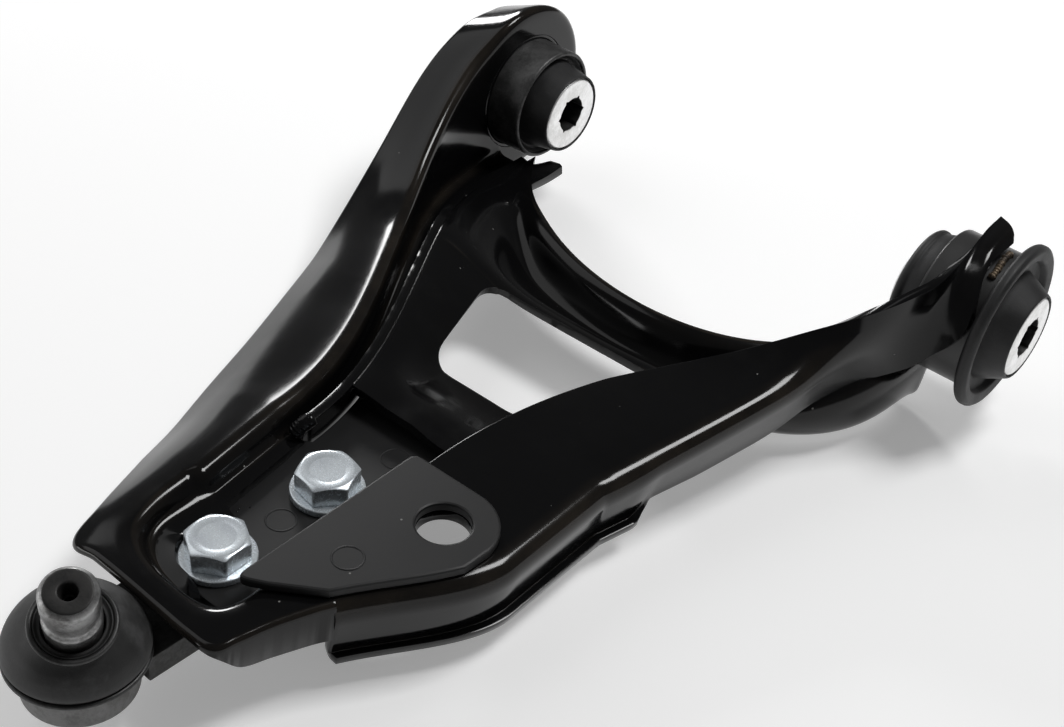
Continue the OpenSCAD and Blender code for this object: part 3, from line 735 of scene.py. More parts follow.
# inner pan
pan = {"floorZ": -17.5, "channel": 16.5, "corner": 10.0, "endRise": 6.0, "endTuck": 9.0, "ribGap": 2.5,
       "window": [(-53, 81), (-67, 126), (-106.96, 126), (-127, 81)],
       "innerY": 78.0, "inner": [(-70, 72), (-184, 100), (-175, 8)],
       "outer": [(-22, 10), (-45, 68), (-145, 77), (-155, 9)], "rows": 150, "spans": [8, 12, 26, 4, 4, 8, 5, 5],
       "bendSteps": 10, "smoothFrom": 74, "smoothPasses": 160, "boreGap": 0.4,
       # root and tip of the tongue under the front eye
       "tongue": [((-14.0, 19, -17.6), (-25.4, 26, -17.4)), ((-17.5, 4.6, -20.6), (-23.6, 4.4, -19.6))]}


def lowZ(y):
    return arm["sideFoot"] + 4 + 8*np.clip((100 - y)/90, 0, 1)


def besideRib(y):
    return ribX(y) - pan["ribGap"]


# section of the pan from the bridge over the floor and down into the channel, v running to the rear eye
def panRows(v):
    inner, outer = [(float(besideRib(pan["innerY"])), pan["innerY"]), *pan["inner"]], pan["outer"]
    r, o = bezier(inner, v), bezier(outer, v)
    e, late, tuck = ease(v/0.25), ramp(v, 0.5, 0.68), ramp(v, 0.7, 0.8)
    floor = pan["floorZ"] - pan["channel"]*e*(0.6 + 0.4*ramp(v, 0.5, 0.75))
    shelf = mix(pan["floorZ"] + 1, lowZ(r[:, 1]) - arm["sheet"] - 0.8, late) + pan["endRise"]*ramp(v, 0.7, 0.85)

    def level(z, y):
        return mix(ribZ(y) - 1.5, z, ease(v/0.22))

    def channel(t, z):
        p = mix(r, o, np.reshape(t, (-1, 1)) if np.ndim(t) else t)
        qx, qy = mix(inner[0][0], outer[0][0], t), mix(inner[0][1], outer[0][1], t)
        return stack(p[:, 0] + (besideRib(qy) - qx)*(1 - v)**3, p[:, 1], level(z, qy))

    by = arm["bridgeY"]
    x1 = mix(float(besideRib(by)), arm["linkHole"][0] - 10, v)
    x2 = mix(float(besideRib(by - 26)), arm["linkHole"][0] - 11, v)
    top = deck - 1.5 - (arm["sheet"] - 1.1)*ramp(v, 0.3, 0.47)
    return np.stack([
        stack(x1, by, level(top, by)), stack(x1, by - 10, level(top, by - 10)),
        stack(x2, by - 26, level(pan["floorZ"], by - 26)),
        stack(mix(mix(r[:, 0], x2, 0.1), r[:, 0] + pan["endTuck"], tuck), r[:, 1] + mix(6, 2, tuck),
              level(mix(pan["floorZ"], shelf + 3*tuck, late), 84.0)),
        channel(0.0, shelf), channel(mix(0.3, 0.1, late), floor), channel(0.66, floor),
        channel(0.86, pan["floorZ"] + 3*e), channel(1.0, pan["floorZ"] + 2*e)], 1)


def innerPan():
    v = np.linspace(0, 1, pan["rows"])
    bottom = mix(12.0, 4.0, ramp(v, 0.6, 0.85))[:, None]
    fine = roundedRows(panRows(v), [5, 9, 4, 5, bottom, 12, 4], pan["spans"], pan["bendSteps"])
    # the first row lies against the rib
    edge = fine[0]
    share = ribX(edge[:, 1]) - 1.6 - edge[:, 0]
    fine[:, :, 0] += share[None]*(1 - np.linspace(0, 1, len(fine)))[:, None]**4
    # the channel is drawn smooth
    c = pan["smoothFrom"]
    for _ in range(pan["smoothPasses"]):
        field = fine[3:-1, c:-3]
        around = fine[2:-2, c:-3] + fine[4:, c:-3] + fine[3:-1, c - 1:-4] + fine[3:-1, c + 1:-2]
        field += 0.4*(0.25*around - field)
    u, w = (g[..., None] for g in np.meshgrid(np.linspace(0, 1, 12), np.linspace(0, 1, 10), indexing="ij"))
    root, tip = (mix(*np.array(side), w) for side in pan["tongue"])
    tongue = mix(root, tip, u) + np.array([0, 0, -0.6])*np.sin(math.pi*u)
    window = roundedProfile(pan["window"], pan["corner"], 10)
    bore = circleLine((0, 0), arm["shellR"] + pan["boreGap"], 60)
    piece = pressedSheet("innerPan", [(fine, None, bendTint(fine)), (tongue, None, np.zeros(tongue.shape[:2]))],
                         [(window, (0, 1), lambda c: True), (bore, (1, 2), lambda c: c[0] > -40),
                          (bore, (1, 2), lambda c: c[0] < -140)])
    dress(piece, node="inner_pan")


# rear leg
rear = {"lip": 4.0, "tubeGap": 0.3, "rows": 130, "wrapFrom": 66.0, "wrapSteps": 75, "easeRows": (100, 165),
        "easePasses": 60, "noseGap": 29.25, "spans": [46, 16, 4], "radii": [6, 3], "bendSteps": 9,
        # upper edge, crease and lower edge of the plate that wraps over the eye tube
        "wrap": [((-156.8, 53.7, 8), (-163.2, 58, 2), (-160.6, 54, -13)),
                 ((-164.5, 44.6, 12), (-166, 47.5, 3.2), (-165.6, 40, -13)),
                 ((-169.5, 38.4, 15.6), (-169.6, 37, 5.2), (-171, 30.5, -12)),
                 ((-173.5, 33, 18.6), (-173.5, 30, 8), (-176.2, 26, -9.5)),
                 ((-176.8, 27, 21.4), (-177.5, 24.5, 11.8), (-181, 25, -3.5)),
                 ((-178, 19.9, 23.6), (-181.5, 21.2, 15.6), (-186, 24.6, 2.7)),
                 ((-177.9, 10, 24.8), (-183.2, 17.9, 20.2), (-189, 22.6, 8.8)),
                 ((-177.8, 2, 25.4), (-183.2, 11.4, 23.8), (-188.4, 18.2, 15.8)),
                 ((-177.8, -4, 25.8), (-182.8, 4, 26.2), (-184.9, 8.4, 23.4)),
                 ((-178, -12, 26.6), (-182.8, -8.4, 27.6), (-184.9, -5.2, 24.8))]}


def creaseX(y):
    return (arm["rearX"] + 2 + 0.235*np.minimum(y, 140)
            + 28*ramp(y, arm["linkHole"][1] - 6, arm["noseY"] - 12))


# section of the straight stretch: inner edge, crease, foot of the side wall and lip
def rearRows(y):
    q = y - 20*ramp(-y, -75, -8)
    innerX = (arm["recessX"] + 3 - 75*np.clip((165 - q)/153, 0, 1)**2
              - 10.5*np.sin(math.pi*np.clip((100 - q)/90, 0, 1)**1.3))
    innerZ = deck + 36.5*np.clip((100 - q)/95, 0, 1)**1.6
    foot = stack(creaseX(y) + rear["lip"], y, mix(arm["sideFoot"], lowZ(y) + 3, ramp(-y, -128, -118)))
    turn = ramp(y, 119, 127)[:, None]
    lip = foot + mix(np.array([0.5, 0, -3.0]), np.array([-rear["lip"], 0, -0.8]), turn)
    crease = stack(creaseX(y), y, deck + 13*np.clip((135 - y)/135, 0, 1))
    return np.stack([stack(innerX, q, innerZ), crease, foot, lip], 1)


def rearLeg():
    rows = rearRows(np.linspace(arm["noseY"] - rear["noseGap"], rear["wrapFrom"], rear["rows"]))
    wrap = np.concatenate([rows[-1:, :3].reshape(1, 9), np.array(rear["wrap"], float).reshape(-1, 9)])
    wrap = spline(wrap, rear["wrapSteps"])[1:].reshape(-1, 3, 3)
    tip = wrap[:, 2] + (wrap[:, 2] - wrap[:, 1])*0.06
    rows = np.concatenate([rows, np.concatenate([wrap, tip[:, None]], 1)])
    # the join of the two stretches is eased
    i, j = rear["easeRows"]
    for _ in range(rear["easePasses"]):
        rows[i:j] += 0.5*(0.5*(rows[i - 1:j - 1] + rows[i + 1:j + 1]) - rows[i:j])
    fine = roundedRows(rows, rear["radii"], rear["spans"], rear["bendSteps"])
    piece = pressedSheet("rearLeg", [(fine, None, bendTint(fine))], [
        (circleLine(arm["linkHole"], arm["linkHoleR"]), (0, 1), lambda c: c[2] > -16),
        (circleLine((0, 0), arm["tubeR"] + rear["tubeGap"], 60), (1, 2), lambda c: True)])
    dress(piece, node="rear_leg")


# link bracket and clamp plate
bracket = {"radius": 15.0, "thick": 3.0, "edge": 0.7}
plate = {"thick": 3.5, "outerEdge": 238.0, "corner": 8, "gap": 0.25, "edge": 0.5}


def linkBracket():
    (hx, hy), r = arm["linkHole"], bracket["radius"]
    arc = [(hx + r*math.cos(math.radians(a)), hy + r*math.sin(math.radians(a))) for a in range(270, 178, -4)]
    side = [(float(creaseX(y)) + 2.5, float(y)) for y in np.linspace(hy + 8, arm["noseY"] - 29, 10)]
    rx, ny = arm["recessX"], arm["noseY"]
    tail, tip, corner = np.array([rx, ny - 20]), np.array([rx + 7.5, ny - 16]), np.array([rx + 6.5, hy - r])

    def turnAt(a, b, c, size):
        s, e = (b + (p - b)/np.linalg.norm(p - b)*size for p in (a, c))
        return [tuple(roundCorner(s, b, e, t)) for t in np.linspace(0, 1, 8)]

    front = turnAt(tail, tip, corner, 4) + turnAt(tip, corner, np.array([hx, hy - r]), 3)
    outline = [*front, *arc, *side, tuple(tail)]
    z = arm["deckTop"]
    piece = cutPlate("linkBracket", outline, z, z + bracket["thick"], satinPaint, [((hx, hy), arm["linkHoleR"])],
                     bracket["edge"])
    dress(piece, node="link_bracket")


def clampPlate():
    top, gap = plate["outerEdge"], plate["gap"]
    wall = [(float(wallX(y)) - 1.5 - 1.85, float(y)) for y in np.linspace(top, arm["ribEnd"] + gap, 14)]
    low = arm["bridgeY"] - 8
    rib = [(float(ribX(y)) - 1.3, float(y)) for y in np.linspace(arm["ribEnd"] - 2, low, 8)]
    x0 = arm["recessX"] + gap
    outline = [*wall, *rib, (x0, low), (x0, top - plate["corner"]), (x0 + plate["corner"], top)]
    z = arm["plateTop"]
    piece = cutPlate("clampPlate", outline, z - plate["thick"], z, platePaint, boltHoles, plate["edge"])
    dress(piece, node="clamp_plate")


# bushes
bush = {"sleeveL": 42.0, "sleeveR": 13.5, "bore": 6.1, "notch": 0.9, "shellL": 25.0, "tubeL": 21.0,
        "flangeR": 27.5, "wall": 1.5}


def notched(profile, a):
    r = profile[:, 0].copy()
    r[r < bush["bore"] + 0.7] += bush["notch"]*max(0.0, math.cos(6*a))**6
    return r


# straight ring with its outer edges cut back
def ringProfile(r0, r1, half, cut, soft):
    return roundedProfile([(r0, -half), (r1 - cut, -half), (r1, cut - half), (r1, half - cut), (r1 - cut, half),
                           (r0, half)], soft)


def bushes():
    half, s, b, fit = bush["sleeveL"]/2, bush["sleeveR"], bush["bore"], arm["fit"]
    shellR, rearX = arm["shellR"], arm["rearX"]
    sr, bond, inside = s + fit, shellR - bush["wall"], shellR - bush["wall"] - fit
    ring = ringProfile(b, s, half, 0.9, 0.5)
    for side, x in (("front", 0.0), ("rear", rearX)):
        sleeve = turned(side + "Sleeve", ring, turnedSteel, (x, 0, 0), pivotFrame, 144, notched)
        # the bore gets a rougher, darker steel: the dark is painted shade inside the hole
        sleeve.data.materials.append(studEnd)
        for face in sleeve.data.polygons:
            if math.hypot(face.center[1], face.center[2]) < (b + 1.2)*mm and abs(face.normal[0]) < 0.7:
                face.material_index = 1
        dress(sleeve, side + "_sleeve", side + "_bush_sleeve")
    h, t = bush["shellL"]/2, bush["tubeL"]/2
    e, f, g = t + 0.25, bush["flangeR"], arm["tubeR"] - 3.6
    frontRubber = [
        (sr, -half), (sr + 0.6, -half + 0.1), (sr + 2.4, 1 - h), (sr + 2.8, 3 - h), (inside - 1.2, 2.6 - h),
        (inside, 0.8 - h), (inside, h - 0.8), (inside - 1.2, h - 2.6), (sr + 2.8, h - 3), (sr + 2.4, h - 1),
        (sr + 0.6, half - 0.1), (sr, half)]
    rearRubber = [
        (sr, -half), (sr + 0.6, -half + 0.1), (sr + 3.6, 6 - half), (sr + 5, -e - 0.9), (f - 5.6, -e - 1.2),
        (f - 4.6, -e - 3.6), (f - 1.3, -e - 4.2), (f, -e - 3), (f, -e - 1), (f - 1, -e), (inside, -e),
        (inside, e), (19.5, e), (19, e + 2.5), (g - 0.6, e + 5), (g, e + 5.8), (g, e + 7), (g - 1, e + 8),
        (sr + 3, e + 8.5), (sr, e + 9)]
    shell, rubber = ("shell_steel", shellSteel), ("bush_rubber", bushRubber)
    for name, node, (slot, material), x, count, profile in (
            ("frontShell", "front_bush_shell", shell, 0, 96, ringProfile(bond, shellR, h, 0.6, 0.5)),
            ("frontRubber", "front_bush_rubber", rubber, 0, 96, roundedProfile(frontRubber, 0.7)),
            ("rearShell", "rear_bush_shell", shell, rearX, 96, ringProfile(bond, shellR, t, 0.5, 0.4)),
            ("rearRubber", "rear_bush_rubber", rubber, rearX, 128, roundedProfile(rearRubber, 0.6)),
            ("rearEyeTube", "rear_eye_tube", ("tube_coat", tubePaint), rearX, 96,
             ringProfile(shellR + fit, arm["tubeR"], t, 0.5, 0.4))):
        dress(turned(name, profile, material, (x, 0, 0), pivotFrame, count), node=node)


# ball joint
joint = {"ballR": 10.5, "studR": 7.25, "studH": 34.0, "housingR": 15.0, "lip": 17.0, "bootR": 18.5,
         "shankHalf": 13.0, "shankTurn": 3.5, "shankFrom": -11.5, "shankLength": 82.0, "shankEdge": 1.0}


def ballJoint():
    axes = studFrame()
    r, top, lip, ballR = joint["studR"], joint["studH"], joint["lip"], joint["ballR"]
    arc = [(ballR*math.cos(math.radians(a)), ballR*math.sin(math.radians(a))) for a in range(-90, 52, 4)]
    upper = roundedProfile([
        (6, 9), (6, 10.5), (r - 0.2, 14.5), (r - 0.2, lip + 0.5), (r, lip + 0.8), (r, lip + 4), (r - 0.9, lip + 5),
        (r - 0.9, lip + 9), (r, lip + 10), (r, top - 1.5), (r - 1.4, top), (2.4, top), (1.6, top - 5),
        (0.01, top - 5.4), (0.01, 9)], 0.5, 3)[4:-8]
    profile = np.vstack([arc, upper])
    profile[:, 0] = np.maximum(profile[:, 0], 0.01)
    stud = turned("ballStud", profile, studSteel, ball, axes, 72, sharp=45)
    # dark end face, and painted shade in the centre hole
    stud.data.materials.append(studEnd)
    for face in stud.data.polygons:
        local = axes@(np.array(face.center)/mm - ball)
        tilt = axes@np.array(face.normal)
        if local[2] > top - 6.5 and (tilt[2] > 0.9 or math.hypot(local[0], local[1]) < 3):
            face.material_index = 1
    dress(stud, "stud", "ball_stud")

    hr = joint["housingR"]
    # the cup takes the lighter copy of the forged steel, painted light on its shaded side
    cup = turned("ballHousing", roundedProfile([
        (12.55, -12.6), (hr - 1.6, -12.6), (hr, -11), (hr, -4), (hr - 0.25, -3.6), (hr - 0.25, -2.6), (hr, -2.2),
        (hr, 5), (12.8, 5), (11.2, 4), (12.55, 3.9)], 0.6), litCupSteel, ball)
    dress(cup, node="ball_joint_housing")
    w, start, length = joint["shankHalf"], joint["shankFrom"], joint["shankLength"]
    bend = [(w*math.cos(a), -length + w*math.sin(a)) for a in np.linspace(math.pi, 2*math.pi, 32)]
    plan = [(-w, start), *bend, (w, start)]
    turn = math.radians(joint["shankTurn"])
    outline = [(ball[0] + x*math.cos(turn) + y*math.sin(turn), ball[1] - x*math.sin(turn) + y*math.cos(turn))
               for x, y in plan]
    z0, z1 = arm["shankFoot"], arm["shankTop"]
    shank = cutPlate("ballShank", outline, z0, z1, forgedSteel, boltHoles, joint["shankEdge"])
    dress(shank)


# how far the boot's wall follows the stud's lean at each height, and where it starts and stops bending
boot = {"steps": 96, "bendFrom": 2.5, "bendTo": 15.5,
        "share": [(-2, 0), (2, 0), (4.2, 0.05), (7.5, 0.2), (10.6, 0.45), (13.2, 0.7), (15.2, 0.95), (16.2, 1),
                  (18, 1)]}


def dustBoot():
    r = joint["bootR"]
    profile = roundedProfile([
        (15.4, -1), (16.8, -1), (16.8, 0.9), (r - 0.8, 1), (r - 0.05, 2.2), (r - 0.2, 4.2), (r - 1.4, 7.5),
        (r - 3.5, 10.6), (r - 6, 13.1), (10.2, 15.2), (9.6, 16.5), (9.2, 17), (8.8, 16.5), (8.4, 16.1),
        (7.55, 16.2), (7.55, 14.6), (8.6, 13.4), (r - 8, 11.4), (r - 5.2, 9.2), (r - 3.2, 6.6), (r - 2.2, 4.2),
        (r - 2.2, 2.6), (15.4, 1.8)], 1.6)
    share = np.interp(profile[:, 1], *np.array(boot["share"]).T)
    u, w = -leanOut*share, -leanBack*share
    rings = []
    for j in range(boot["steps"]):
        a = 2*math.pi*j/boot["steps"]
        x, y, z = profile[:, 0]*math.cos(a), profile[:, 0]*math.sin(a), profile[:, 1]
        y, z = y*np.cos(u) - z*np.sin(u), y*np.sin(u) + z*np.cos(u)
        x, z = x*np.cos(w) + z*np.sin(w), z*np.cos(w) - x*np.sin(w)
        rings.append(np.stack([x, y, z], 1) + ball)
    piece = closedRing("dustBoot", rings, bootRubber, 50)
    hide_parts("dust_boot")
    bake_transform(piece)


# clamp bolts
bolt = {"flats": 16.0, "head": 6.4, "washerR": 10.5, "washerT": 2.1, "shaftR": 5.0, "root": 0.35, "length": 24.5,
        "nut": 8.4, "pitch": 1.5, "threadR": 4.55, "threadL": 15.0, "threadFrom": 0.8, "dish": 0.15, "steps": 144,
        "sharp": 25, "spin": {"outer": 0.0, "inner": 20.0}}


def boltRing(r, z):
    a = fullTurn(bolt["steps"])
    return stack(r*np.cos(a), r*np.sin(a), z)


# rings of a six-sided body with a turned chamfer; hole leaves a bore through it
def hexRings(height, low, hole=0.0):
    off = (fullTurn(bolt["steps"]) + math.pi/6) % (math.pi/3) - math.pi/6
    flat = np.minimum(bolt["flats"]/2/np.cos(off), bolt["flats"]*0.5*1.135)
    r0 = bolt["flats"]*0.475
    fall = np.maximum(0, flat - r0)*math.tan(math.radians(28))
    top, dish = low + height, low + height - bolt["dish"]
    chamfer = [(flat, top - fall - 0.05), (flat - 0.12, top - fall + 0.06), (r0 + 0.05, top - 0.03)]
    if hole:
        rings = [(hole + 0.8, low), (r0, low), (flat, low + fall), *chamfer, (r0 - 0.3, top), (hole + 0.8, top),
                 (hole, top - 0.8), (hole, low + 0.8)]
    else:
        rings = [(flat - 0.2, low), (flat, low + 0.25), *chamfer, (r0 - 0.5, top), (5.6, top - 0.05),
                 (5.1, top - 0.14), (4.9, dish), (0.02, dish)]
    return np.array([boltRing(r, z) for r, z in rings])


def ringMesh(name, rings, closed):
    m, n = rings.shape[:2]
    faces = [(j*n + i, j*n + (i + 1) % n, ((j + 1) % m)*n + (i + 1) % n, ((j + 1) % m)*n + i)
             for j in range(m if closed else m - 1) for i in range(n)]
    if not closed:
        faces += [list(range(n)), [(m - 1)*n + i for i in range(n)]]
    obj = meshObject(name, rings.reshape(-1, 3), faces)
    tidyFaces(obj)
    return settle(obj, zincPlate, bolt["sharp"])


def joinInto(name, parts, node):
    with bpy.context.temp_override(active_object=parts[0], selected_editable_objects=parts, object=parts[0],
                                   selected_objects=parts):
        bpy.ops.object.join()
    parts[0].name = name
    parts[0].data.name = name
    dress(parts[0], node=node)


def clampBolts():
    seat = arm["plateTop"] + bolt["washerT"]
    r, foot = bolt["shaftR"] - bolt["root"], seat - bolt["length"]
    shaft = [boltRing(*pair) for pair in ((0.02, foot), (bolt["shaftR"] - 1.2, foot), (r, foot + 0.9), (r, seat))]
    middles = [np.array([*place, 0.0]) for place in arm["bolts"].values()]
    for name, at in zip(arm["bolts"], middles):
        turn = np.array(Matrix.Rotation(math.radians(bolt["spin"][name]), 3, "Z")).T
        rings = np.concatenate([shaft, hexRings(bolt["head"], seat)])@turn + at
        dress(ringMesh(name + "ClampBolt", rings, False), node=name + "_clamp_bolt")
    nut = hexRings(bolt["nut"], arm["shankFoot"] - bolt["nut"], bolt["shaftR"] + arm["fit"])
    joinInto("clampNuts", [ringMesh("nut%d" % i, nut + at, True) for i, at in enumerate(middles)], "clamp_nuts")
    hole, w, z0 = arm["boltHole"], bolt["washerR"], arm["plateTop"]
    washer = roundedProfile([(hole, z0), (w, z0), (w, seat), (hole, seat)], 0.5)
    joinInto("clampWashers", [turned("washer%d" % i, washer, zincPlate, at) for i, at in enumerate(middles)],
             "clamp_washers")


def geometryTree(name, inputs):
    tree = bpy.data.node_groups.new(name, "GeometryNodeTree")
    tree.interface.new_socket("Geometry", in_out="INPUT", socket_type="NodeSocketGeometry")
    addInputs(tree, {**inputs, "Material": None})
    tree.interface.new_socket("Geometry", in_out="OUTPUT", socket_type="NodeSocketGeometry")
    return tree, tree.nodes.new("NodeGroupInput").outputs, tree.nodes.new("NodeGroupOutput").inputs


# one instance on each point, made real and given its material
def endTree(tree, inn, out, links):
    placed = addNode(tree, "GeometryNodeInstanceOnPoints", links)
    real = addNode(tree, "GeometryNodeRealizeInstances", {"Geometry": placed.outputs[0]})
    painted = addNode(tree, "GeometryNodeSetMaterial", {"Geometry": real.outputs[0], "Material": inn["Material"]})
    tree.links.new(painted.outputs[0], out["Geometry"])
    return tree


def circleNode(tree, resolution, radius):
    circle = addNode(tree, "GeometryNodeCurvePrimitiveCircle", {"Resolution": resolution, "Radius": radius})
    return circle.outputs[0]


def sweepNode(tree, curve, profile):
    return addNode(tree, "GeometryNodeCurveToMesh", {"Curve": curve, "Profile Curve": profile}).outputs[0]


# overlapping drops along a path, as a welder lays them
def buildWeldTree():
    tree, inn, out = geometryTree("weldRipples", {"Width": 0.0018, "Spacing": 0.001, "Seed": 3})
    curve = addNode(tree, "GeometryNodeMeshToCurve", {"Mesh": inn["Geometry"]})
    points = addNode(tree, "GeometryNodeCurveToPoints", {
        "Curve": curve.outputs[0], "Length": inn["Spacing"]}, mode="LENGTH").outputs
    drop = addNode(tree, "GeometryNodeMeshIcoSphere", {"Radius": inn["Width"], "Subdivisions": 3})
    size = addNode(tree, "FunctionNodeRandomValue", {
        "Min": (0.82, 0.9, 0.6), "Max": (1.1, 1.12, 0.85), "Seed": inn["Seed"]}, data_type="FLOAT_VECTOR")
    return endTree(tree, inn, out, {
        "Points": points["Points"], "Instance": drop.outputs["Mesh"], "Rotation": points["Rotation"],
        "Scale": size.outputs["Value"]})


# small round spatter thrown on a strip of surface
def buildSpatterTree():
    tree, inn, out = geometryTree("weldSpatter", {"Density": 60000.0, "Size": 0.0006, "Seed": 5})
    points = addNode(tree, "GeometryNodeDistributePointsOnFaces", {
        "Mesh": inn["Geometry"], "Density": inn["Density"], "Seed": inn["Seed"]})
    bead = addNode(tree, "GeometryNodeMeshIcoSphere", {"Radius": inn["Size"], "Subdivisions": 2})
    size = addNode(tree, "FunctionNodeRandomValue", {2: 0.25, 3: 1.0, "Seed": inn["Seed"]}, data_type="FLOAT")
    return endTree(tree, inn, out, {
        "Points": points.outputs["Points"], "Instance": bead.outputs["Mesh"], "Scale": size.outputs[1]})


# a thread wound round each bolt
def buildThreadTree():
    tree, inn, out = geometryTree("threadTurns", {"Radius": 0.0047, "Pitch": 0.0015, "Length": 0.02})
    turns = mathNode(tree, "DIVIDE", inn["Length"], inn["Pitch"])
    line = addNode(tree, "GeometryNodeCurveSpiral", {
        "Resolution": 40, "Rotations": turns, "Start Radius": inn["Radius"], "End Radius": inn["Radius"],
        "Height": inn["Length"]})
    thread = sweepNode(tree, line.outputs[0], circleNode(tree, 4, times(tree, inn["Pitch"], 0.45)))
    return endTree(tree, inn, out, {"Points": inn["Geometry"], "Instance": thread})


# shallow ring left by a spot weld
def buildSpotTree():
    tree, inn, out = geometryTree("spotRings", {"Radius": 0.0048, "Bead": 0.0005})
    ring = sweepNode(tree, circleNode(tree, 64, inn["Radius"]), circleNode(tree, 10, inn["Bead"]))
    return endTree(tree, inn, out, {"Points": inn["Geometry"], "Instance": ring, "Scale": (1.0, 1.0, 0.45)})


trees = {"weld": buildWeldTree(), "spatter": buildSpatterTree(), "thread": buildThreadTree(),
         "spot": buildSpotTree()}


# runs a tree on guide points, edges or faces and keeps the result as a plain mesh
def grow(name, tree, points, values, material, edges=(), faces=(), sharp=60):
    obj = meshObject(name, points, faces, edges)
    modifier = obj.modifiers.new(name, "NODES")
    modifier.node_group = trees[tree]
    values = {**values, "Material": material}
    for item in trees[tree].interface.items_tree:
        if item.in_out == "INPUT" and item.name in values:
            modifier[item.identifier] = values[item.name]
    settle(obj, material, sharp)
    dress(obj)


weld = {"seamEnd": 227, "seamZ": -14.6, "tubeX": -187.2, "tubeAngles": (66, 96), "tubeGap": 0.4,
        "rib": [(1.4, 2, -10.6), (0.5, 0.2, -8.6), (-0.4, -2, -7.4)],
        "spatterEnd": 226, "spatterZ": -14.95, "spatterBand": (5.5, 10.5), "spatterPerM2": 9000.0,
        "spatterSize": 0.4}


def layWeld(name, path, width, spacing, seed, material):
    edges = [(i, i + 1) for i in range(len(path) - 1)]
    grow(name, "weld", path, {"Width": width*mm, "Spacing": spacing*mm, "Seed": seed}, material, edges)


def welds():
    ribEnd = arm["ribEnd"]
    y = np.linspace(ribEnd + 1, weld["seamEnd"], 60)
    drift = 0.35*np.sin(y*0.9) + 0.2*np.sin(y*2.3)
    seam = stack(wallX(y) - 4.6 + 0.4*drift, y, weld["seamZ"] + 0.2*drift)
    layWeld("seamWeld", seam, 0.6, 0.8, 4, weldPaint)
    nugget = spline([(float(ribX(ribEnd)) + dx, ribEnd + dy, z) for dx, dy, z in weld["rib"]], 16)
    layWeld("ribWeld", nugget, 2.3, 0.3, 9, blackPaint)
    r, a = arm["tubeR"] + weld["tubeGap"], np.radians(np.linspace(*weld["tubeAngles"], 40))
    bead = stack(weld["tubeX"] + 0.4*np.sin(a*9), r*np.cos(a), r*np.sin(a))
    layWeld("tubeWeldOuter", bead, 1.2, 1.0, 6, burntWeld)
    # strip of plate beside the seam, for the spatter
    n = 30
    y = np.linspace(ribEnd + 1, weld["spatterEnd"], n)
    strip = np.vstack([stack(wallX(y) - off, y, weld["spatterZ"]) for off in weld["spatterBand"]])
    grow("plateSpatter", "spatter", strip, {
        "Density": weld["spatterPerM2"], "Size": weld["spatterSize"]*mm, "Seed": 8}, weldPaint,
        faces=[(i, i + 1, n + i + 1, n + i) for i in range(n - 1)])


spots = {"plate": [(-84.9, 204.6, -15.0), (-90.0, 165.0, -15.0)], "bracket": [(-115.3, 210.7, -3.5)],
         "radius": 4.2, "bead": 0.3}


def fittings():
    values = {"Radius": spots["radius"]*mm, "Bead": spots["bead"]*mm}
    grow("plateSpotWelds", "spot", spots["plate"], values, platePaint)
    grow("bracketSpotWeld", "spot", spots["bracket"], values, satinPaint)
    foot = arm["plateTop"] + bolt["washerT"] - bolt["length"] + bolt["threadFrom"]
    values = {"Radius": bolt["threadR"]*mm, "Pitch": bolt["pitch"]*mm, "Length": bolt["threadL"]*mm}
    feet = [(*place, foot) for place in arm["bolts"].values()]
    grow("boltThreads", "thread", feet, values, zincPlate, sharp=30)


frontLeg()
innerPan()
rearLeg()
print("pressings made")
linkBracket()
clampPlate()
bushes()
print("bushes made")
ballJoint()
dustBoot()
clampBolts()
print("ball joint and bolts made")
welds()
fittings()
print("welds made")

# carried-over solids get the finishes too
carried = {"ball_seat": seatPlastic, "ball_joint_cap": shellSteel, "boot_base_ring": springSteel,
           "boot_neck_ring": springSteel}
for node, material in carried.items():
    nodes[node].data.materials.clear()
    nodes[node].data.materials.append(material)

# stage
stage = {"camera": (-328.0, 438.9, 311.4), "right": (-0.7706, -0.6315, 0.0854), "up": (0.4474, -0.4407, 0.7782),
         "back": (-0.4538, 0.6379, 0.6222), "lens": 58.42, "sensor": 36.0, "floor": (0.86, 0.86, 0.86),
         "floorR": 12, "floorGap": 0.0004, "fill": 0.28, "skyLow": 0.1, "skyHigh": 0.08, "aim": (-0.08, 0.12, 0.0),
         # place, width, height and power of each softbox
         "lamps": {"keyBox": ((-0.43, -0.38, 1.148), 0.4, 0.4, 9),
                   "backLeftBox": ((0.894, -0.613, 0.445), 0.28, 0.34, 6),
                   "leftFill": ((0.89, 0.29, 0.99), 1.1, 1.1, 3.4),
                   "frontLeftFill": ((0.65, 0.94, 0.09), 0.9, 0.22, 2)}}


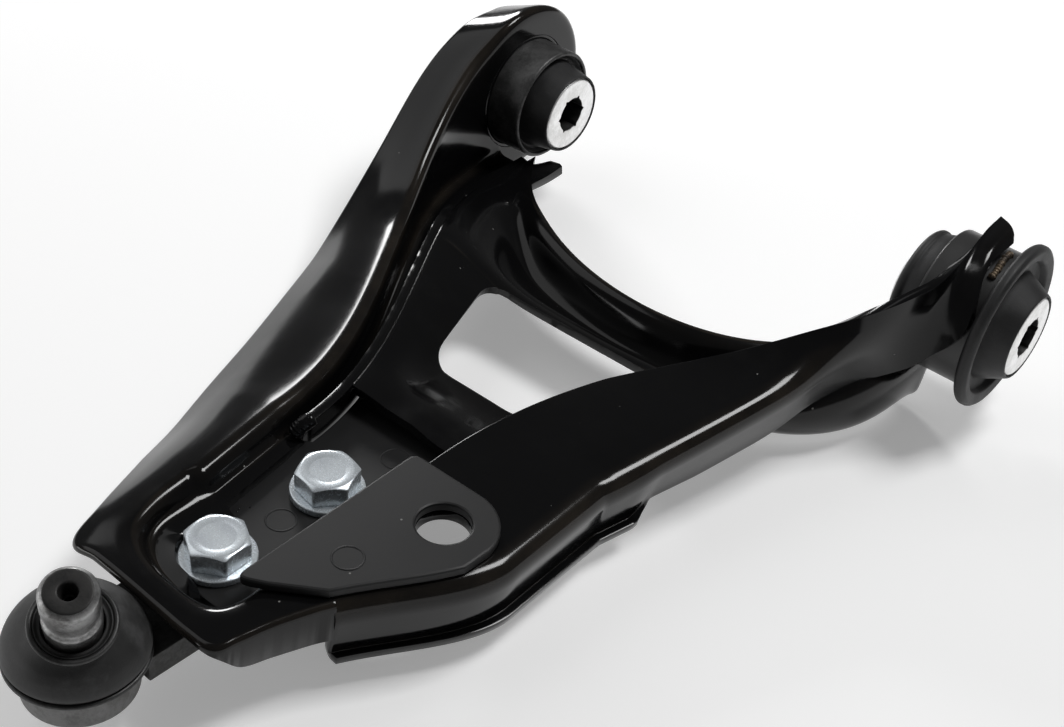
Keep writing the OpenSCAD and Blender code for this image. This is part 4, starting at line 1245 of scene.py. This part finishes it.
def makeCamera():
    camera = linkObject("camera", bpy.data.cameras.new("camera"))
    turn = Matrix([stage["right"], stage["up"], stage["back"]]).transposed().to_4x4()
    camera.matrix_world = Matrix.Translation(Vector(stage["camera"])*mm) @ turn
    camera.data.lens = stage["lens"]
    camera.data.sensor_width = stage["sensor"]
    camera.data.sensor_fit = "HORIZONTAL"
    camera.data.clip_start = 0.01
    scene.camera = camera


# pale paper that glows a little where the camera or a shiny surface sees it
def makeFloor():
    disc = bpy.data.meshes.new("floor")
    z, count = cadBox[0][2] - stage["floorGap"], 96
    disc.from_pydata([(x, y, z) for x, y in circleLine((0, 0), stage["floorR"], count)], [], [list(range(count))])
    linkObject("floor", disc)
    paper = bpy.data.materials.new("paleFloor")
    paper.use_nodes = True
    tree = paper.node_tree
    tree.nodes.clear()
    ray = tree.nodes.new("ShaderNodeLightPath").outputs
    seen = mathNode(tree, "MAXIMUM", ray["Is Camera Ray"],
                    mathNode(tree, "MAXIMUM", ray["Is Glossy Ray"], ray["Is Transmission Ray"]))
    matt = addNode(tree, "ShaderNodeBsdfDiffuse", {"Color": (*stage["floor"], 1)})
    share = times(tree, seen, stage["fill"])
    glow = addNode(tree, "ShaderNodeEmission", {"Color": (1, 1, 1, 1), "Strength": share})
    both = addNode(tree, "ShaderNodeAddShader", {0: matt.outputs[0], 1: glow.outputs[0]})
    addNode(tree, "ShaderNodeOutputMaterial", {"Surface": both.outputs[0]})
    disc.materials.append(paper)


def makeLight():
    world = bpy.data.worlds.new("studio")
    scene.world = world
    world.use_nodes = True
    tree = world.node_tree
    tree.nodes.clear()
    way = addNode(tree, "ShaderNodeTexCoord").outputs["Generated"]
    height = addNode(tree, "ShaderNodeSeparateXYZ", {0: way}).outputs["Z"]
    level = rangeNode(tree, height, 0.24, 0.5, stage["skyLow"], stage["skyHigh"])
    sky = addNode(tree, "ShaderNodeBackground", {"Color": (1, 1, 1, 1), "Strength": level})
    addNode(tree, "ShaderNodeOutputWorld", {"Surface": sky.outputs[0]})
    for name, (place, width, height, power) in stage["lamps"].items():
        light = bpy.data.lights.new(name, "AREA")
        light.shape = "RECTANGLE"
        light.size, light.size_y, light.energy = width, height, power
        lamp = linkObject(name, light)
        lamp.location = place
        lamp.rotation_euler = (Vector(stage["aim"]) - Vector(place)).to_track_quat("-Z", "Y").to_euler()


makeCamera()
makeFloor()
makeLight()
